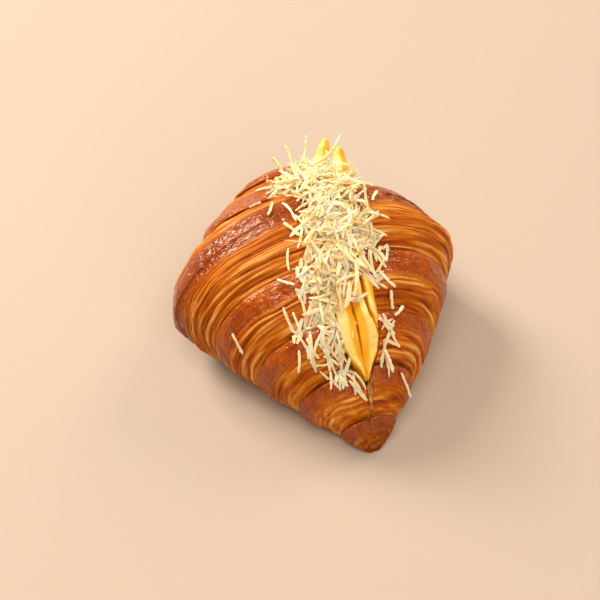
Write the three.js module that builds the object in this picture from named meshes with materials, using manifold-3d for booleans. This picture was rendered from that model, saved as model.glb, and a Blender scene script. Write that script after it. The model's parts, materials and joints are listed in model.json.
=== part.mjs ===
// A filled croissant lying on its flat base: one baked body, cut open along its length, with cheese
// slices standing in the cut and grated cheese heaped over it.
// Millimetres. +X runs along the croissant to its near tip, +Y across it, +Z up. The widest section of
// the body is at x = 0 while it is being built; the finished group is moved so that its origin is the
// middle of its base.
import * as THREE from 'three';
import { mergeVertices } from 'three/addons/utils/BufferGeometryUtils.js';
import Module from 'manifold-3d';

const wasm = await Module();
wasm.setup();

// ---------------------------------------------------------------- driving dimensions (mm)
// Baked body
const CROWN_BEHIND_WIDEST = 14; // the middle wrap's crown lies this far behind the widest section
const NEAR_WRAP_WIDTHS = [26, 22, 17.5, 14.5, 8]; // along the spine, from the crown to the near tip
const FAR_WRAP_WIDTHS = [24, 24, 20]; // from the crown to the far tip
const BODY_HEIGHT = 66;
const LEFT_REACH = 62.5; // from the spine to the left side at the widest section
const RIGHT_REACH = 66;
const NOSE_RADIUS = 9.5; // round end of the near tip
const CREST_OFFSET = 7; // the crest runs to the right of the spine
const FAR_NECK = 0.08; // share by which the left side draws in behind the middle wrap
const NEAR_TIP_DRIFT = 2.5; // the near tip turns this far to the right
const NEAR_BOW = 1.5; // how far the spine bows to the right over the near half
const FAR_BOW = 10; // and over the far arm
const LEFT_FULLNESS = { near: 1.12, far: 1.45 }; // 1 is a straight flank seen from above, 2 is round
const RIGHT_FULLNESS = { near: 1.27, far: 1.14 };
const CREST_FULLNESS = 1.5;
const CREST_PEAK_X = -12;
const FAR_ARM_HEIGHT_SHARE = 0.64; // height of the far arm beside the peak
const STEP_DEPTH = 3; // how far a wrap's edge stands above the groove beside it
const CROWN_STEP_DEPTH = 5; // the same beside the middle wrap, on the far side
// Cut along the crest
const KERF = 2.2; // width of the cut where nothing holds it open
const OPEN_LEFT = 9; // how far the left lip is pushed from the knife line by the filling
const OPEN_RIGHT = 7.6;
const CUT_FLOOR = 18; // height of the joined dough under the cut
const TIP_CUT_DEPTH = 5; // near the tip the cut only splits the crust
const SHOULDER = 0.72; // place of the right shoulder across a section, from the spine to the side
// Fillings
const LOWEST_RISE = 8; // the walls of the cut are never taken as lower than this
const FIT_GAP = 0.3; // between a filling and what it touches
const SHRED_WIDTH = 1.7;
const SHRED_THICKNESS = 0.9;
const SHRED_GAP = 0.4; // under a loose shred that lies on the crust
const HEAP_DEPTH = 7; // how far the mound of the heap reaches down beside the cut's lips
const HEAP_WALL_GAP = 1; // between the cheese that fills the cut and the walls of the cut
const HEAP_SLICE_GAP = 1.2; // left around every slice by the grated cheese
const HEAP_FILL_FROM = -44; // far end of the cheese inside the cut

// ---------------------------------------------------------------- resolution
const RING_POINTS = 48;
const STATIONS_PER_WRAP = [0, 0.07, 0.2, 0.4, 0.62, 0.84];
// Slivers finer than these are merged away, so that a body stays closed when its corners are rounded
// to a file's precision.
const BODY_DETAIL = 0.02;
const HEAP_DETAIL = 0.05;
const CUT_SPACING = 3.5; // the cut and the slices in it have their stations at the same places

// ---------------------------------------------------------------- small helpers
const sum = (list) => list.reduce((total, value) => total + value, 0);
const clamp = THREE.MathUtils.clamp;
const lerp = THREE.MathUtils.lerp;
const step = (from, to, x) => THREE.MathUtils.smoothstep(x, from, to);
const NEAR = sum(NEAR_WRAP_WIDTHS) - CROWN_BEHIND_WIDEST;
const FAR = sum(FAR_WRAP_WIDTHS) + CROWN_BEHIND_WIDEST;
const CROWN = -CROWN_BEHIND_WIDEST;

// Edges of the wraps along the spine, from the crown outwards on each side.
function edgesFromCrown(widths, direction) {
  const edges = [CROWN];
  for (const width of widths) {
    edges.push(edges[edges.length - 1] + direction * width);
  }
  return edges;
}
const NEAR_EDGES = edgesFromCrown(NEAR_WRAP_WIDTHS, 1);
const FAR_EDGES = edgesFromCrown(FAR_WRAP_WIDTHS, -1);
const EDGES = [...FAR_EDGES.slice(1).reverse(), ...NEAR_EDGES];

// Smooth curve through values given at the wrap edges, from the far tip to the near tip.
function alongEdges(values, u) {
  let result = values[0];
  for (let i = 1; i < EDGES.length; i += 1) {
    result += (values[i] - values[i - 1]) * step(EDGES[i - 1], EDGES[i], u);
  }
  return result;
}

// ---------------------------------------------------------------- shape of the baked body
// How far each wrap edge sweeps along X on its way from the crest to the base.
const LEFT_SWEEP = [0, -3, -3, 16, 7, 1, -1, -1, 0];
const RIGHT_SWEEP = [0, 0, 0, 9, 7, 5, 3, 0, 0];
const SWEEP_ENDS_AT = (2 * Math.PI) / 3;
const CREST_WARP = 3; // the crown's crest line swings back by this much across the top
const CREST_WARP_WIDTH = 18;
const WAIST = 0.4; // the widest point of a section, as a share of its height
const SECTION_ROUNDNESS = 0.95; // 1 is an ellipse, less is fuller at the shoulders
const BASE_DEPTH_SHARE = 1.2; // more than 1 cuts the sections off flat under the waist
const BASE_ROUNDNESS = 0.9;
const FAR_NECK_X = -32;
const FAR_NECK_LENGTH = 14;
const NOSE_BLEND = 6; // how sharply the nose takes over from the flanks
const MEAN_PROFILE = 0.7; // the wraps rise as much above the plain body as they fall below it

const reachedTip = (x) => clamp(x > 0 ? x / NEAR : -x / FAR, 0, 1);
const bell = (x, power) => (1 - reachedTip(x) ** power) ** (1 / power);
const noseWidth = (x) => Math.sqrt(Math.max(0, NOSE_RADIUS ** 2 - Math.max(0, x - NEAR + NOSE_RADIUS) ** 2));

function spineY(x) {
  const t = reachedTip(x);
  return x > 0 ? NEAR_BOW * t ** 2 + NEAR_TIP_DRIFT * step(0.75, 1, t) : FAR_BOW * t ** 2;
}

// Half width to one side of the spine. The near tip ends in a round nose.
function halfWidth(x, side) {
  const fullness = side < 0 ? LEFT_FULLNESS : RIGHT_FULLNESS;
  const power = x > 0 ? fullness.near : fullness.far;
  const neck = side < 0 ? FAR_NECK * Math.exp(-(((x - FAR_NECK_X) / FAR_NECK_LENGTH) ** 2)) : 0;
  const width = (side < 0 ? LEFT_REACH : RIGHT_REACH) * bell(x, power) * (1 - neck);
  const nose = x > NEAR - 3 * NOSE_RADIUS ? noseWidth(x) : 0;
  return (width ** NOSE_BLEND + nose ** NOSE_BLEND) ** (1 / NOSE_BLEND);
}

// Height of the crest: it stays high over the near half and drops to a lower arm at the far end.
function crestHeight(x) {
  const beyond = x - CREST_PEAK_X;
  const t = clamp(beyond > 0 ? beyond / (NEAR - CREST_PEAK_X) : -beyond / (FAR + CREST_PEAK_X), 0, 1);
  if (beyond > 0) return BODY_HEIGHT * (1 - t ** 1.75) ** 0.72;
  const arm = FAR_ARM_HEIGHT_SHARE * Math.sqrt(1 - t ** 2.8);
  return BODY_HEIGHT * (arm + (1 - FAR_ARM_HEIGHT_SHARE) * (1 - step(0, 0.62, t)));
}

const crestY = (x) => spineY(x) + CREST_OFFSET * bell(x, CREST_FULLNESS);

// Height of a wrap above its groove: a quick round rise at its inner edge, then a long fall outwards.
function wrapProfile(t) {
  const rise = Math.sqrt(1 - (1 - clamp(t / 0.2, 0, 1)) ** 2);
  const fall = 1 - clamp((t - 0.3) / 0.7, 0, 1) ** 1.7;
  return rise * fall;
}

// The middle wrap is the outermost layer, so it is round on both sides of its crown.
const crownProfile = (t) => 1 - clamp((t - 0.35) / 0.65, 0, 1) ** 1.9;

function relief(u) {
  const edges = u > CROWN ? NEAR_EDGES : FAR_EDGES;
  for (let i = 1; i < edges.length; i += 1) {
    const t = (u - edges[i - 1]) / (edges[i] - edges[i - 1]);
    if (t >= 0 && t <= 1) {
      const depth = i === 1 && u < CROWN ? CROWN_STEP_DEPTH : STEP_DEPTH;
      const profile = i === 1 ? crownProfile(t) : wrapProfile(t);
      return depth * (profile - MEAN_PROFILE);
    }
  }
  return 0;
}

// A point of the crust. u picks the place along the spine and angle the place around it: 0 on the
// crest, negative on the left, and plus or minus pi in the middle of the flat base.
function crustPoint(u, angle, grow = 0) {
  const turn = Math.min(Math.abs(angle), SWEEP_ENDS_AT);
  const left = alongEdges(LEFT_SWEEP, u);
  const right = alongEdges(RIGHT_SWEEP, u);
  const under = step(0.55 * Math.PI, Math.PI, Math.abs(angle));
  const sweep = lerp(angle < 0 ? left : right, (left + right) / 2, under);
  const warpShare = (1 - reachedTip(u) ** 2) * Math.exp(-(((u - CROWN) / CREST_WARP_WIDTH) ** 2));
  const warp = CREST_WARP * Math.sin(angle) * warpShare;
  const x = clamp(u + 0.9 * sweep * (1 - Math.cos(turn)) - warp, -FAR, NEAR);
  const side = angle < 0 ? -1 : 1;
  const edgeY = spineY(x) + side * halfWidth(x, side);
  const plainWidth = Math.abs(edgeY - crestY(x));
  const plainHeight = crestHeight(x);
  const tipFade = clamp(Math.min(plainWidth / 14, plainHeight / 20), 0, 1);
  const raised = relief(u) * tipFade + grow;
  const width = plainWidth + raised;
  const height = plainHeight + raised;
  const waist = WAIST * height;
  const across = Math.sin(angle);
  const up = Math.cos(angle);
  const y = crestY(x) + width * Math.sign(across) * Math.abs(across) ** SECTION_ROUNDNESS;
  const z = up > 0
    ? waist + (height - waist) * up ** SECTION_ROUNDNESS
    : Math.max(0, waist - BASE_DEPTH_SHARE * waist * Math.abs(up) ** BASE_ROUNDNESS);
  return new THREE.Vector3(x, y, z);
}

// Height of the crust over a place seen from above, found by stepping towards it.
function crustTop(x, y) {
  let u = x;
  let angle = 0;
  for (let i = 0; i < 24; i += 1) {
    const side = y < crestY(x) ? -1 : 1;
    const width = Math.abs(spineY(x) + side * halfWidth(x, side) - crestY(x)) + relief(u);
    const share = clamp(Math.abs(y - crestY(x)) / Math.max(width, 1), 0, 1) ** (1 / SECTION_ROUNDNESS);
    angle = side * Math.asin(share);
    u = clamp(u + 0.8 * (x - crustPoint(u, angle).x), -FAR, NEAR);
  }
  return crustPoint(u, angle);
}

// ---------------------------------------------------------------- meshes and solids
// Closed surface through rings with the same number of points, flat at both ends.
function loft(rings) {
  const count = rings[0].length;
  const positions = rings.flat().flatMap((point) => [point.x, point.y, point.z]);
  const triangles = [];
  for (let i = 0; i + 1 < rings.length; i += 1) {
    for (let j = 0; j < count; j += 1) {
      const a = i * count + j;
      const b = i * count + ((j + 1) % count);
      triangles.push([a, b, b + count], [a, b + count, a + count]);
    }
  }
  const last = (rings.length - 1) * count;
  for (let j = 1; j + 1 < count; j += 1) {
    triangles.push([0, j + 1, j], [last, last + j, last + j + 1]);
  }
  const geometry = new THREE.BufferGeometry();
  geometry.setAttribute('position', new THREE.Float32BufferAttribute(positions, 3));
  geometry.setIndex(triangles.flat());
  return geometry;
}

function toSolid(geometry) {
  const merged = mergeVertices(geometry, 1e-4);
  const index = Array.from(merged.index.array);
  const kept = [];
  for (let i = 0; i < index.length; i += 3) {
    const [a, b, c] = index.slice(i, i + 3);
    if (a !== b && b !== c && c !== a) kept.push(a, b, c);
  }
  const solid = new wasm.Manifold(new wasm.Mesh({
    numProp: 3,
    vertProperties: new Float32Array(merged.attributes.position.array),
    triVerts: new Uint32Array(kept),
  }));
  return solid;
}

function toGeometry(solid) {
  const mesh = solid.getMesh();
  const geometry = new THREE.BufferGeometry();
  geometry.setAttribute('position', new THREE.BufferAttribute(mesh.vertProperties, 3));
  geometry.setIndex(new THREE.BufferAttribute(mesh.triVerts, 1));
  geometry.computeVertexNormals();
  return geometry;
}

// ---------------------------------------------------------------- the baked body and its cut
function bodyStations() {
  const stations = new Set([-FAR, NEAR]);
  for (const edges of [NEAR_EDGES, FAR_EDGES]) {
    for (let i = 1; i < edges.length; i += 1) {
      for (const t of STATIONS_PER_WRAP) stations.add(lerp(edges[i - 1], edges[i], t));
    }
  }
  stations.add(lerp(NEAR_EDGES.at(-2), NEAR, 0.95));
  stations.add(lerp(FAR_EDGES.at(-2), -FAR, 0.96));
  return [...stations].sort((a, b) => a - b);
}

function bodySolid(grow = 0) {
  const rings = bodyStations().map((u) => {
    const ring = [];
    for (let j = 0; j < RING_POINTS; j += 1) {
      const angle = -Math.PI + (2 * Math.PI * j) / RING_POINTS;
      ring.push(crustPoint(u, -angle, grow));
    }
    return ring;
  });
  return toSolid(loft(rings));
}

// The knife line seen from above, from the near tip over the crest to the right flank of the far arm.
function knifeY(x) {
  return 11.9 - 0.205 * x + 0.0017 * x ** 2 - 4 * step(NEAR - 15, NEAR, x);
}

// How far the filling holds the cut open, from 0 at the near tip to 1 behind it.
const openShare = (x) => 1 - step(NEAR - 32, NEAR - 14, x);

// Height of the lips. Where the cut runs out through the flank, it is taken on the shoulder above.
function lipHeight(x) {
  const shoulder = spineY(x) + SHOULDER * halfWidth(x, 1);
  return crustTop(x, Math.min(knifeY(x), shoulder)).z;
}

// Height of the cut's floor. Towards the near tip it rises under the lips and runs out of the crust.
function cutFloor(x) {
  const depth = lerp(TIP_CUT_DEPTH, -1.5, step(NEAR - 9, NEAR - 3, x));
  return lerp(CUT_FLOOR, lipHeight(x) - depth, step(NEAR - 26, NEAR - 14, x));
}

// One wall of the cut at a height: near the floor the cut is a third as wide as at its lips.
function wallY(x, z, side, inset = 0) {
  const open = (side < 0 ? OPEN_LEFT : OPEN_RIGHT) * openShare(x);
  const rise = (z - cutFloor(x)) / Math.max(lipHeight(x) - cutFloor(x), LOWEST_RISE);
  const half = KERF / 2 + open * (0.33 + 0.67 * clamp(rise, 0, 1.25)) - inset;
  return knifeY(x) + side * half;
}

// The ends of a stretch along X and the shared stations between them.
function cutStations(from, to) {
  const stations = [from];
  for (let i = Math.ceil(from / CUT_SPACING); i * CUT_SPACING < to; i += 1) {
    if (i * CUT_SPACING - stations.at(-1) > 0.4) stations.push(i * CUT_SPACING);
  }
  stations.push(to);
  return stations;
}

function cutSolid(inset = 0) {
  const top = BODY_HEIGHT + 32;
  const rings = [];
  for (const x of cutStations(-FAR - CUT_SPACING, NEAR + CUT_SPACING)) {
    const floor = cutFloor(x) + inset;
    const lip = Math.max(lipHeight(x), floor + LOWEST_RISE);
    const level = lip + 0.25 * (lip - cutFloor(x));
    rings.push([
      new THREE.Vector3(x, wallY(x, floor, -1, inset), floor),
      new THREE.Vector3(x, wallY(x, floor, 1, inset), floor),
      new THREE.Vector3(x, wallY(x, level, 1, inset), level),
      new THREE.Vector3(x, wallY(x, level, 1, inset), top),
      new THREE.Vector3(x, wallY(x, level, -1, inset), top),
      new THREE.Vector3(x, wallY(x, level, -1, inset), level),
    ]);
  }
  return toSolid(loft(rings));
}

// ---------------------------------------------------------------- cheese slices in the cut
// Each row of a slice: x, then its left and right faces as places between the two walls (0 to 1), how
// high its underside stands above the cut's floor, and how far its top stands above the lips.
const SLICES = {
  cheese_slice_near_left: [
    [16, 0.08, 0.48, 6, 0.5], [30, 0.1, 0.49, 6, 2.5], [42, 0.12, 0.5, 7, 4.6],
    [49, 0.12, 0.49, 9, 4.6], [54.5, 0.2, 0.46, 5, 3], [57.5, 0.34, 0.42, 4, 0.8],
  ],
  cheese_slice_near_right: [
    [14, 0.53, 0.79, 6, 0.5], [28, 0.55, 0.77, 6, 4.6], [38, 0.57, 0.79, 6, 6.4],
    [44, 0.57, 0.92, 7, 6.4], [48.5, 0.56, 0.99, 9, 5.4], [53.5, 0.58, 0.92, 6, 3.2],
    [57, 0.6, 0.7, 4, 0.8],
  ],
  cheese_slice_near_back: [
    [12, 0.82, 0.98, 8, 0.5], [24, 0.82, 0.99, 8, 5], [36, 0.84, 0.99, 9, 6],
    [42.5, 0.95, 0.98, 14, 3],
  ],
  cheese_slice_middle: [
    [-18, 0.3, 0.7, 8, 0.5], [-6, 0.3, 0.72, 8, 2.5], [6, 0.32, 0.72, 8, 2.6], [11, 0.42, 0.64, 10, 1.5],
  ],
  cheese_slice_far_left: [
    [-61.5, 0.3, 0.38, 23, 26], [-58, 0.18, 0.42, 17, 25], [-50, 0.04, 0.46, 8, 15], [-38, 0.03, 0.48, 6, 4],
    [-26, 0.04, 0.46, 6, 0.5],
  ],
  cheese_slice_far_right: [
    [-57.5, 0.6, 0.67, 22, 19], [-53.5, 0.54, 0.74, 16, 22], [-46, 0.53, 0.86, 8, 12], [-36, 0.53, 0.94, 6, 3],
    [-24, 0.54, 0.92, 6, 0.5],
  ],
};

// The values between two rows of a table whose first column is x.
function rowAt(rows, x) {
  let i = 1;
  while (i < rows.length - 1 && x > rows[i][0]) i += 1;
  const t = clamp((x - rows[i - 1][0]) / (rows[i][0] - rows[i - 1][0]), 0, 1);
  return rows[i].map((value, k) => lerp(rows[i - 1][k], value, t));
}

function sliceSolid(rows, grow = 0) {
  const gap = FIT_GAP - grow;
  const from = rows[0][0];
  const to = rows.at(-1)[0];
  const rings = cutStations(from, to).map((x) => {
    const [, leftShare, rightShare, below, above] = rowAt(rows, x);
    const overhang = x === from ? -grow : (x === to ? grow : 0);
    const place = x + overhang;
    const bottom = cutFloor(x) + below - grow;
    const top = lipHeight(x) + above + grow;
    const corner = (z, share, shift) => {
      const left = wallY(x, z, -1);
      const right = wallY(x, z, 1);
      const y = lerp(left + FIT_GAP, right - FIT_GAP, share) + shift;
      return new THREE.Vector3(place, y, z);
    };
    return [
      corner(bottom, leftShare, gap / 2),
      corner(bottom, rightShare, -gap / 2),
      corner(top, rightShare, -gap / 2),
      corner(top, leftShare, gap / 2),
    ];
  });
  return toSolid(loft(rings));
}

// ---------------------------------------------------------------- heap of grated cheese
// Rows along the heap: x, left edge and right edge measured from the knife line, height above the lips.
const HEAP_ROWS = [
  [-60, -22, -10, 6], [-55, -23, -3, 13], [-44, -25, 2, 16], [-33, -24, 3, 13], [-22, -15, 3, 7],
  [-10, -11, 4, 6], [4, -12, 8, 6.5], [14, -14, 9, 6], [22, -15, 6, 5.5], [30, -14, -1, 5],
  [38, -13, -6, 3.8], [46, -12, -8, 3],
];
const HEAP_RING_POINTS = 16;
const HEAP_STRANDS = 26;
const HEAP_STRAND_LENGTH = 13;

function heapMound() {
  const first = HEAP_ROWS[0][0];
  const last = HEAP_ROWS.at(-1)[0];
  const rings = [];
  for (let i = 0; i <= 24; i += 1) {
    const x = lerp(first, last, i / 24);
    const [, left, right, above] = rowAt(HEAP_ROWS, x);
    const endFade = Math.sqrt(Math.sin(Math.PI * clamp(i / 24, 0.02, 0.98)));
    const middle = knifeY(x) + (left + right) / 2;
    const half = ((right - left) / 2) * (0.5 + 0.5 * endFade);
    const base = crustTop(x, middle).z;
    const ring = [];
    for (let j = 0; j < HEAP_RING_POINTS; j += 1) {
      const angle = (2 * Math.PI * j) / HEAP_RING_POINTS;
      const lump = 1 + 0.1 * Math.sin(3 * angle + 0.31 * x) + 0.06 * Math.sin(0.9 * x + angle);
      const up = Math.sin(angle);
      const reach = up > 0 ? above * endFade * lump : HEAP_DEPTH * endFade;
      ring.push(new THREE.Vector3(x, middle - half * Math.cos(angle) * lump, base - 0.5 + reach * up));
    }
    rings.push(ring.reverse());
  }
  return toSolid(loft(rings));
}

// The grated cheese that fell into the cut and fills it up to its lips.
function heapFill() {
  const rings = cutStations(HEAP_FILL_FROM, HEAP_ROWS.at(-1)[0]).map((x) => {
    const floor = cutFloor(x) + FIT_GAP;
    const lip = Math.max(lipHeight(x), floor + LOWEST_RISE);
    return [
      new THREE.Vector3(x, wallY(x, floor, -1, HEAP_WALL_GAP), floor),
      new THREE.Vector3(x, wallY(x, floor, 1, HEAP_WALL_GAP), floor),
      new THREE.Vector3(x, wallY(x, lip, 1, HEAP_WALL_GAP), lip),
      new THREE.Vector3(x, wallY(x, lip, -1, HEAP_WALL_GAP), lip),
    ];
  });
  return toSolid(loft(rings));
}

// A straight shred of rectangular section from one point to another, its broad face along normal.
function shredSolid(from, to, normal) {
  const along = to.clone().sub(from).normalize();
  const across = new THREE.Vector3().crossVectors(normal, along).normalize();
  const up = new THREE.Vector3().crossVectors(along, across);
  const corner = (end, side, rise) => end.clone()
    .addScaledVector(across, (side * SHRED_WIDTH) / 2)
    .addScaledVector(up, rise * SHRED_THICKNESS);
  const ring = (end) => [corner(end, -1, 0), corner(end, -1, 1), corner(end, 1, 1), corner(end, 1, 0)];
  return toSolid(loft([ring(from).reverse(), ring(to).reverse()]));
}

// Shreds that stand out of the heap. They point up and outwards, so they clear the crust.
function heapStrands() {
  const strands = [];
  for (let i = 0; i < HEAP_STRANDS; i += 1) {
    const x = lerp(-50, 20, i / (HEAP_STRANDS - 1));
    const [, left, right, above] = rowAt(HEAP_ROWS, x);
    const side = i % 2 === 0 ? -1 : 1;
    const share = 0.35 + 0.4 * Math.abs(Math.sin(2.4 * i));
    const y = knifeY(x) + lerp((left + right) / 2, side < 0 ? left : right, share);
    const base = lipHeight(x) - 0.5;
    const from = new THREE.Vector3(x, y, base + above * 0.45 * Math.sqrt(1 - share ** 2));
    const heading = side * (0.9 + 0.7 * Math.sin(1.7 * i));
    const slope = 0.3 + 0.45 * Math.abs(Math.sin(1.3 * i));
    const along = new THREE.Vector3(Math.cos(heading), Math.sin(heading), slope).normalize();
    const to = from.clone().addScaledVector(along, HEAP_STRAND_LENGTH);
    strands.push(shredSolid(from, to, new THREE.Vector3(0, 0, 1)));
  }
  return strands;
}

// The heap rests in and on everything under it, so what is under it is cut from it with a gap.
function heapSolid() {
  let heap = heapMound().add(heapFill());
  for (const strand of heapStrands()) heap = heap.add(strand);
  heap = heap.subtract(bodySolid(FIT_GAP).subtract(cutSolid(FIT_GAP)));
  for (const rows of Object.values(SLICES)) heap = heap.subtract(sliceSolid(rows, HEAP_SLICE_GAP));
  // Crumbs that the cuts leave hanging free aren't part of the heap.
  const bodies = heap.simplify(HEAP_DETAIL).decompose();
  return bodies.reduce((largest, body) => (body.volume() > largest.volume() ? body : largest));
}

// ---------------------------------------------------------------- loose shreds on the crust
// One shred strayed down the left flank, so its place goes with the width of that side.
const STRAY_FROM_KNIFE = -0.784 * LEFT_REACH;
// Middle of each shred (x, and y from the knife line), its heading in degrees and its length.
const LOOSE_SHREDS = [
  [25, STRAY_FROM_KNIFE, 20, 7], [28, -27.5, 12, 9], [31, -24, 8, 9], [40.5, -20, 20, 8], [42, -26, -20, 6],
  [46, -18, 75, 7], [52, -14.5, -15, 6], [53.5, -10, 30, 6], [40, 13, 20, 8], [36, 19, -50, 7],
  [45.5, 13.5, 70, 7], [51, 10.5, 10, 8], [57, 16, 40, 6], [31, 17, -10, 6], [24, 16, 40, 9],
  [15, 18, -25, 8], [5, 16, 60, 8], [-6, 12.5, 15, 9], [-12, 17, -40, 7], [-4, -21, 30, 9],
  [7, -24, -15, 8], [16, -26, 50, 8], [-17, -29, -30, 9], [-31, -36, 25, 8], [-50, -33, 60, 8],
  [-22, 14, 35, 8],
];

// A stiff straight shred that rests on the highest point of the crust under it.
function looseShred([x, fromKnife, headingDegrees, length]) {
  const heading = THREE.MathUtils.degToRad(headingDegrees);
  const y = knifeY(x) + fromKnife;
  const along = new THREE.Vector2(Math.cos(heading), Math.sin(heading));
  const crustAt = (s, side) => crustTop(
    x + along.x * s - along.y * side,
    y + along.y * s + along.x * side,
  );
  const start = crustAt(-length / 2, 0);
  const end = crustAt(length / 2, 0);
  const edge = crustAt(0, 1).sub(crustAt(0, -1));
  const normal = new THREE.Vector3().crossVectors(end.clone().sub(start), edge).normalize();
  let lift = 0;
  for (let i = 0; i <= 12; i += 1) {
    for (const side of [-SHRED_WIDTH / 2, 0, SHRED_WIDTH / 2]) {
      const chord = start.clone().lerp(end, i / 12);
      const crust = crustAt(lerp(-length / 2, length / 2, i / 12), side);
      lift = Math.max(lift, crust.sub(chord).dot(normal));
    }
  }
  lift += SHRED_GAP;
  return shredSolid(start.addScaledVector(normal, lift), end.addScaledVector(normal, lift), normal);
}

// ---------------------------------------------------------------- the finished group
const CRUST = new THREE.MeshStandardMaterial({ color: 0xb7651b, roughness: 0.42, metalness: 0 });
const SLICE_CHEESE = new THREE.MeshStandardMaterial({ color: 0xf5b93c, roughness: 0.38, metalness: 0 });
const GRATED_CHEESE = new THREE.MeshStandardMaterial({ color: 0xfbe3ac, roughness: 0.55, metalness: 0 });

const croissant = new THREE.Group();

function addPiece(name, solid, material) {
  const mesh = new THREE.Mesh(toGeometry(solid), material.clone());
  mesh.name = name;
  croissant.add(mesh);
}

addPiece('croissant', bodySolid().subtract(cutSolid()).simplify(BODY_DETAIL), CRUST);
for (const [name, rows] of Object.entries(SLICES)) addPiece(name, sliceSolid(rows), SLICE_CHEESE);
addPiece('grated_cheese_heap', heapSolid(), GRATED_CHEESE);
LOOSE_SHREDS.forEach((shred, i) => {
  addPiece(`cheese_shred_${String(i + 1).padStart(2, '0')}`, looseShred(shred), GRATED_CHEESE);
});

// The origin goes to the middle of the base of everything.
const box = new THREE.Box3().setFromObject(croissant);
const middle = box.getCenter(new THREE.Vector3());
croissant.position.set(-middle.x, -middle.y, -box.min.z);

export default croissant;
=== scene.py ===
"""A filled croissant: glossy laminated crust cut open along its crest, cheese slices, grated cheese.

The shape functions work in millimetres in the body's own frame (X to the near tip, Y across, Z up,
x = 0 at the widest section), as the body was drawn. Meshes are moved into the part's frame and turned
into metres when they are made.
"""
import json
import logging
import math
from dataclasses import dataclass, field
from enum import Enum

import bmesh
import bpy
import numpy as np
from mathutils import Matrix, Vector

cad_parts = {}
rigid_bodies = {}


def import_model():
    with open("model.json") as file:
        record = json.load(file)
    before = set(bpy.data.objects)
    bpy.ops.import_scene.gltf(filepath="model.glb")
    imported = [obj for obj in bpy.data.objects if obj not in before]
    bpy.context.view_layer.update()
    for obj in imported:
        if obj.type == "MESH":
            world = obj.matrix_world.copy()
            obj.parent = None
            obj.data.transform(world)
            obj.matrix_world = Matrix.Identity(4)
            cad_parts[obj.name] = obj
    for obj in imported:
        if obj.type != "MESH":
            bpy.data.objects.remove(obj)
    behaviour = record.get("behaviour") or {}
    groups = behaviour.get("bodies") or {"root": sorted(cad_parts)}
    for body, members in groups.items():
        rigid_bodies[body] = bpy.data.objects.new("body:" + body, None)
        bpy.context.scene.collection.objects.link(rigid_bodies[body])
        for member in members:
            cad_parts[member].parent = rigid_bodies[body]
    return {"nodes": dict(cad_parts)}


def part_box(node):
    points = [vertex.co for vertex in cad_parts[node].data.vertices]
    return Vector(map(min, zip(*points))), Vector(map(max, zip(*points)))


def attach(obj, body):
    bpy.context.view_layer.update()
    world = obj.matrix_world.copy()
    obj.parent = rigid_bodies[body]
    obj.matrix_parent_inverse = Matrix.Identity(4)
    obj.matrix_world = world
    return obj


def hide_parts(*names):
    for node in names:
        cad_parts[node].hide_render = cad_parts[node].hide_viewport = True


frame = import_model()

logging.basicConfig(level=logging.INFO, format="%(message)s")
LOG = logging.getLogger("croissant")
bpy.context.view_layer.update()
MM = 0.001
Array = np.ndarray


# ------------------------------------------------------------------ helpers
def linear(hex_colour: str, alpha: float = 1.0) -> tuple[float, float, float, float]:
    """Turns an sRGB hex colour into linear values.

    Args:
        hex_colour: The colour, such as "#C36315".
        alpha: The fourth value.

    Returns:
        Linear red, green, blue and alpha.
    """
    parts = [int(hex_colour[i:i + 2], 16) / 255 for i in (1, 3, 5)]
    values = [c / 12.92 if c <= 0.04045 else ((c + 0.055) / 1.055) ** 2.4 for c in parts]
    return (values[0], values[1], values[2], alpha)


def add_node(tree: bpy.types.NodeTree, kind: str, inputs: dict | None = None, **settings) -> bpy.types.Node:
    """Adds a node to a tree with its settings and links.

    Args:
        tree: The shader or geometry tree.
        kind: The node's type name.
        inputs: Socket name or number to a value or to the socket that feeds it.
        **settings: Properties of the node, set before its sockets are read.

    Returns:
        The new node.
    """
    node = tree.nodes.new(kind)
    for name, value in settings.items():
        setattr(node, name, value)
    for key, value in (inputs or {}).items():
        if isinstance(value, bpy.types.NodeSocket):
            tree.links.new(value, node.inputs[key])
        else:
            node.inputs[key].default_value = value
    return node


def set_ramp(node: bpy.types.Node, stops: list[tuple[float, str]]) -> None:
    """Gives a colour ramp its stops.

    Args:
        node: The colour ramp node.
        stops: Places from 0 to 1 with their sRGB hex colours.
    """
    elements = node.color_ramp.elements
    while len(elements) < len(stops):
        elements.new(0.5)
    for element, (place, colour) in zip(elements, stops):
        element.position = place
        element.color = linear(colour)


def smooth_step(low: float, high: float, x: Array | float) -> Array:
    """A smooth rise from 0 at low to 1 at high."""
    t = np.clip((np.asarray(x, float) - low) / (high - low), 0, 1)
    return t * t * (3 - 2 * t)


def mesh_object(name: str, vertices: Array, faces: list | Array, smooth: bool = True) -> bpy.types.Object:
    """Makes a mesh object at the origin.

    Args:
        name: The object's name.
        vertices: Points in metres in the part's frame.
        faces: Corner numbers of each face.
        smooth: Whether the faces are shaded smooth.

    Returns:
        The object, linked to the scene.
    """
    mesh = bpy.data.meshes.new(name)
    mesh.from_pydata([tuple(v) for v in vertices], [], [tuple(int(i) for i in f) for f in faces])
    mesh.polygons.foreach_set("use_smooth", [smooth] * len(mesh.polygons))
    mesh.update()
    made = bpy.data.objects.new(name, mesh)
    bpy.context.scene.collection.objects.link(made)
    return made


def set_attribute(mesh: bpy.types.Mesh, name: str, values: Array) -> None:
    """Stores one number a vertex under a name."""
    mesh.attributes.new(name, "FLOAT", "POINT").data.foreach_set("value", values.astype(np.float32).ravel())


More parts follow.
